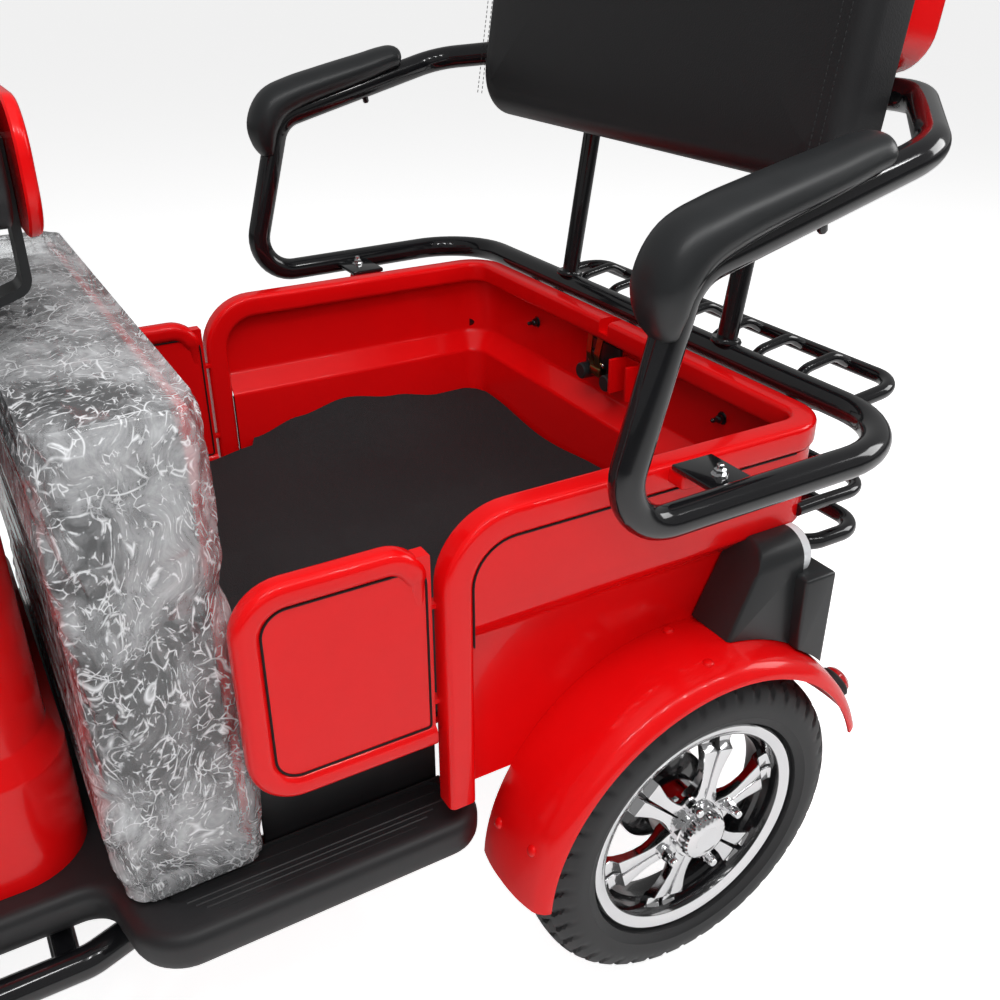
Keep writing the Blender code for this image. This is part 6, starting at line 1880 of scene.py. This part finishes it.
sleeve = piece("bench_film", "film", "chassis", [wrap(3.0, 1.0)], sharp=180)
sleeve.data.materials[0].use_backface_culling = False
print("bench and film done")

# %% [markdown]
# ## Front end
# The leg shield, the fork, the handlebar and its cowl are out of the reference picture, and
# are dressed plainly from the type.

# %% Leg shield
def curved_sheet(levels, wall, across=24, up=20):
    """A curved upright sheet through the given levels."""
    fine = []
    zs = smooth_values([level[0] for level in levels], up)
    ys = smooth_values([level[1] for level in levels], up)
    halves = smooth_values([level[2] for level in levels], up)
    backs = smooth_values([level[3] for level in levels], up)
    for z, y, half, back in zip(zs, ys, halves, backs):
        outer, inner = [], []
        for i in range(across + 1):
            share = -1 + 2 * i / across
            outer.append((half * share, y + back * share * share, z))
            inner.append((half * share * (1 - wall / half * 0.2), y + wall + back * share * share, z))
        fine.append(outer + inner[::-1])
    return skin(fine)


head_low, head_top = axis_point(0.412), axis_point(0.540)
top_z = head_top.z + 0.13
top_y = head_top.y + 0.13 * math.tan(CASTER) + 0.054
shield_levels = [
    (0.3003, -1.396, 0.1978, 0.030), (0.4603, -1.396, 0.2254, 0.045),
    ((0.3003 + top_z) / 2 + 0.06, (-1.396 + top_y) / 2 - 0.006, 0.230, 0.050), (top_z, top_y, 0.184, 0.040),
]
nose_levels = [
    (head_low.z, head_low.y - 0.054, 0.110, 0.198), (head_top.z, head_top.y - 0.069, 0.130, 0.182),
    (top_z - 0.01, top_y - 0.115, 0.110, 0.134),
]
piece(
    "shield_sheets", "red", "chassis",
    [curved_sheet(shield_levels, 0.006), curved_sheet(nose_levels, 0.006)], ["leg_shield"], sharp=50
)


# %% [markdown]
# The fork legs are turned in one piece each, parallel to the steering axis. The fender is an
# arched outline spun through part of a turn about the front hub.

# %% Fork and front fender
def fork():
    shapes = []
    for side in (1, -1):
        foot = FRONT_HUB + Vector((side * 0.076, 0, 0)) - STEER_UP * 0.022
        shapes.append(
            lathe(
                [
                    (0, 0.015), (0.003, 0.0175), (0.184, 0.0175), (0.187, 0.0190), (0.194, 0.0190),
                    (0.197, 0.0140), (0.382, 0.0140)
                ],
                foot, STEER_UP, 32
            )
        )
    turn = Matrix.Translation(axis_point(0.360)) @ Matrix.Rotation(-CASTER, 4, "X")
    shapes.append(moved(block((-0.094, -0.050, -0.013), (0.094, 0.022, 0.013), 0.006), turn))
    shapes.append(cylinder(axis_point(0.360), axis_point(0.787), 0.0165, 32))
    shapes.append(cylinder(FRONT_HUB - Vector((0.1015, 0, 0)), FRONT_HUB + Vector((0.1015, 0, 0)), 0.009))
    for side in (1, -1):
        shapes.append(
            lathe(
                [(0, 0.014), (0.008, 0.014), (0.010, 0.012)], FRONT_HUB + Vector((side * 0.0915, 0, 0)),
                (side, 0, 0), 6
            )
        )
        lug = FRONT_HUB + STEER_UP * 0.197
        x0, x1 = sorted((side * 0.0533, side * 0.076))
        shapes.append(block(lug + Vector((x0, -0.012, -0.010)), lug + Vector((x1, 0.012, 0.010)), 0.002))
    return shapes


def front_fender():
    half, radius = 0.053, 0.229
    outer = []
    for i in range(25):
        share = -1 + i / 12
        bulge = abs(share) ** 3.2
        outer.append((half * math.sin(share * math.pi / 2), radius + 0.001 - 0.045 * bulge))
    inner = [(x * 0.953, r - 0.0025) for x, r in reversed(outer)]
    return turned(outer + inner, 64, tuple(FRONT_HUB), math.radians(12), math.radians(150))


piece("fork_tubes", "tube", "steering", fork(), ["front_fork"], sharp=40)
piece("front_guard", "red", "steering", [front_fender()], ["front_fender"], sharp=50)


# %% [markdown]
# The bar is one tube through mirrored points. The grips are turned with fine rings, and the
# mirrors stand on bent stalks.

# %% Handlebar, grips and mirrors
def bar_points():
    clamp = axis_point(0.800)
    return [
        clamp, clamp + Vector((0.085, 0, 0.006)), clamp + Vector((0.1998, 0.052, 0.070)),
        clamp + Vector((0.245, 0.095, 0.080)), clamp + Vector((0.370, 0.150, 0.072)),
    ]


def handlebar():
    left = fillet(bar_points(), 0.05, 10)
    route = [Vector((-p.x, p.y, p.z)) for p in reversed(left)] + left[1:]
    shapes = [tube(route, 0.011)]
    shapes.append(cylinder(axis_point(0.788), axis_point(0.814), 0.018, 32))
    grip_start, grip_end = Vector(bar_points()[3]), Vector(bar_points()[4])
    run = (grip_end - grip_start).normalized()
    for side in (1, -1):
        boss = grip_start - run * 0.012
        boss = Vector((side * boss.x, boss.y, boss.z))
        shapes.append(pin(boss, boss + Vector((0, 0, 0.026)), 0.009))
        lever = [
            boss + Vector((side * 0.004, -0.010, 0)), boss + Vector((side * 0.020, -0.042, -0.002)),
            boss + Vector((side * 0.125, -0.010, -0.004))
        ]
        shapes.append(tube(fillet(lever, 0.02, 8), 0.0045, sides=14))
    return shapes


def grip(side):
    start, end = Vector(bar_points()[3]), Vector(bar_points()[4])
    run = (end - start).normalized()
    start, end = end - run * 0.115, end + run * 0.004
    start.x, end.x = side * start.x, side * end.x
    rings = [(0.0, 0.0155), (0.003, 0.0160), (0.008, 0.0160)]
    for i in range(16):
        rings += [
            (0.010 + i * 0.006, 0.0148), (0.013 + i * 0.006, 0.0148), (0.0135 + i * 0.006, 0.0158),
            (0.0155 + i * 0.006, 0.0158)
        ]
    rings += [(0.112, 0.0160), (0.1175, 0.0160), (0.119, 0.0140)]
    return lathe(rings, start, end - start, 32)


piece("bar_tube", "tube", "steering", handlebar(), ["handlebar"])
piece("left_grip", "grip", "steering", [grip(1)], ["grip_left"])
piece("right_grip", "grip", "steering", [grip(-1)], ["grip_right"])


def mirror(side):
    start, end = Vector(bar_points()[3]), Vector(bar_points()[4])
    boss = start - (end - start).normalized() * 0.012
    boss = Vector((side * boss.x, boss.y, boss.z + 0.0263))
    head = boss + Vector((side * 0.090, -0.075, 0.125))
    stalk = tube(fillet([boss, boss + Vector((0, 0, 0.04)), head], 0.03, 10), 0.005, sides=16)
    case = lathe(
        [
            (0.0005, 0.0520), (0.0, 0.0540), (0.003, 0.0550), (0.008, 0.0530), (0.014, 0.0460),
            (0.018, 0.0330), (0.020, 0.0150)
        ],
        head + Vector((0, 0.008, 0)), (0, -1, 0), 48
    )
    glass = lathe([(0.0, 0.0520), (0.0006, 0.0515)], head + Vector((0, 0.0076, 0)), (0, 1, 0), 48)
    return [stalk, case], glass


for side, name in ((1, "left"), (-1, "right")):
    case, glass = mirror(side)
    piece("mirror_case_" + name, "satin", "steering", case, ["mirror_" + name])
    piece("mirror_glass_" + name, "alloy", "steering", [glass])


# %% [markdown]
# The cowl is a loft through rounded rectangles that swell and close again towards the lamp,
# and the lamp is a turned lens set in its front face.

# %% Cowl and head lamp
def cowl():
    clamp = axis_point(0.800)
    levels = (
        (0.045, 0.060, 0.030, 0.012), (0.034, 0.078, 0.042, 0.011), (0.015, 0.090, 0.052, 0.008),
        (-0.010, 0.096, 0.059, 0.003), (-0.035, 0.098, 0.064, -0.002), (-0.060, 0.092, 0.064, -0.006),
        (-0.085, 0.078, 0.062, -0.010), (-0.103, 0.068, 0.0605, -0.013), (-0.108, 0.064, 0.058, -0.014)
    )
    rings = []
    for forward, half_x, half_z, rise in levels:
        plan = ring_plan(half_x, -half_z, half_z, min(half_z * 0.8, 0.046), 8)
        rings.append([clamp + Vector((x, forward, z + rise)) for (x, z), _ in plan])
    return skin(rings)


lamp_front = axis_point(0.800) + Vector((0, -0.1083, -0.014))
piece("bar_cowl", "red", "steering", [cowl()], ["handlebar_cowl"], sharp=60)
piece(
    "head_lamp", "clear", "steering",
    [
        lathe(
            [
                (0.0, 0.052), (0.006, 0.055), (0.014, 0.0535), (0.022, 0.046), (0.028, 0.032),
                (0.0302, 0.012)
            ],
            lamp_front, (0, -1, 0), 56
        )
    ],
    ["headlight"]
)
print("front end done")

# %% [markdown]
# ## Studio
# The studio is a wide white floor under a white world. The world is drawn white only for rays
# from the camera and through clear things, and weaker in reflections, so that the background is
# pale while black parts stay black.

# %% Floor and world
def studio_floor():
    mesh = bpy.data.meshes.new("studio_floor")
    reach = 60.0
    mesh.from_pydata(
        [(-reach, -reach, 0), (reach, -reach, 0), (reach, reach, 0), (-reach, reach, 0)], [],
        [(0, 1, 2, 3)]
    )
    floor = bpy.data.objects.new("studio_floor", mesh)
    bpy.context.scene.collection.objects.link(floor)
    floor.location.z = -0.0005
    paper = surface("white_floor", (0.93, 0.93, 0.93), 0.75, 0.05, tint=0.005, scale=2.0)
    nodes, links = paper.node_tree.nodes, paper.node_tree.links
    ray = nodes.new("ShaderNodeLightPath")
    fill = nodes.new("ShaderNodeMath")
    fill.operation = "MULTIPLY"
    fill.inputs[1].default_value = 0.80
    links.new(ray.outputs["Is Camera Ray"], fill.inputs[0])
    shader = nodes["Principled BSDF"]
    shader.inputs["Emission Color"].default_value = (1, 1, 1, 1)
    links.new(fill.outputs["Value"], shader.inputs["Emission Strength"])
    mesh.materials.append(paper)
    return floor


studio_floor()
print("floor laid")
world = bpy.data.worlds.new("studio")
bpy.context.scene.world = world
world.use_nodes = True
sky, links = world.node_tree.nodes, world.node_tree.links
backdrop = sky["Background"]
backdrop.inputs["Color"].default_value = (1, 1, 1, 1)
ray = sky.new("ShaderNodeLightPath")
seen = sky.new("ShaderNodeMath")
seen.operation = "MAXIMUM"
links.new(ray.outputs["Is Camera Ray"], seen.inputs[0])
links.new(ray.outputs["Is Transmission Ray"], seen.inputs[1])
mirrored_sky = sky.new("ShaderNodeMath")
mirrored_sky.operation = "MULTIPLY"
mirrored_sky.inputs[1].default_value = 0.22
links.new(ray.outputs["Is Glossy Ray"], mirrored_sky.inputs[0])
either = sky.new("ShaderNodeMath")
either.operation = "MAXIMUM"
links.new(seen.outputs["Value"], either.inputs[0])
links.new(mirrored_sky.outputs["Value"], either.inputs[1])
strength = sky.new("ShaderNodeMapRange")
strength.inputs["To Min"].default_value = 0.05
strength.inputs["To Max"].default_value = 1.0
links.new(either.outputs["Value"], strength.inputs["Value"])
links.new(strength.outputs["Result"], backdrop.inputs["Strength"])


# %% [markdown]
# Big soft panels light the cart from above and from the camera's side. They are hidden from
# reflections, so that they don't wash over the paint. A row of six narrow panels stays visible
# there and leaves the streaks that run over the fender.

# %% Lights
def panel(name, place, aim, size, power, size_y=None):
    data = bpy.data.lights.new(name, "AREA")
    data.shape = "RECTANGLE"
    data.size, data.size_y = size, size_y or size
    data.energy = power
    light = bpy.data.objects.new(name, data)
    bpy.context.scene.collection.objects.link(light)
    light.location = Vector(place) + SHIFT
    light.rotation_euler = (Vector(aim) - Vector(place)).to_track_quat("-Z", "Y").to_euler()
    return light


for light in (
    panel("overhead", (0.4, -0.2, 3.2), (0, 0, 0.4), 2.6, 60),
    panel("near_side", (3.0, -1.6, 2.2), (0.2, -0.1, 0.4), 1.8, 45),
):
    light.visible_glossy = False
panel("rear_side", (1.2, 3.0, 2.0), (0, 0, 0.5), 1.4, 30)
for k in range(6):
    panel(f"strip_{k}", (1.5 + 0.10 * k, -1.4 + 0.62 * k, 2.9), (0.42, 0, 0.35), 0.10, 4.5, 0.55)

# %% [markdown]
# ## Camera
# It stands at head height beside the rider's seat and looks down across the tub.

# %% Camera
camera_data = bpy.data.cameras.new("camera")
camera = bpy.data.objects.new("camera", camera_data)
bpy.context.scene.collection.objects.link(camera)
camera_data.lens, camera_data.sensor_width = 37.82, 36.0
camera_data.clip_start, camera_data.clip_end = 0.02, 200.0
look = Vector((-0.764, 0.444, -0.468)).normalized()
camera.location = Vector((1.091, -0.640, 1.098)) + SHIFT
camera.rotation_euler = look.to_track_quat("-Z", "Y").to_euler()
bpy.context.scene.camera = camera
bpy.context.scene.view_settings.view_transform = "Standard"
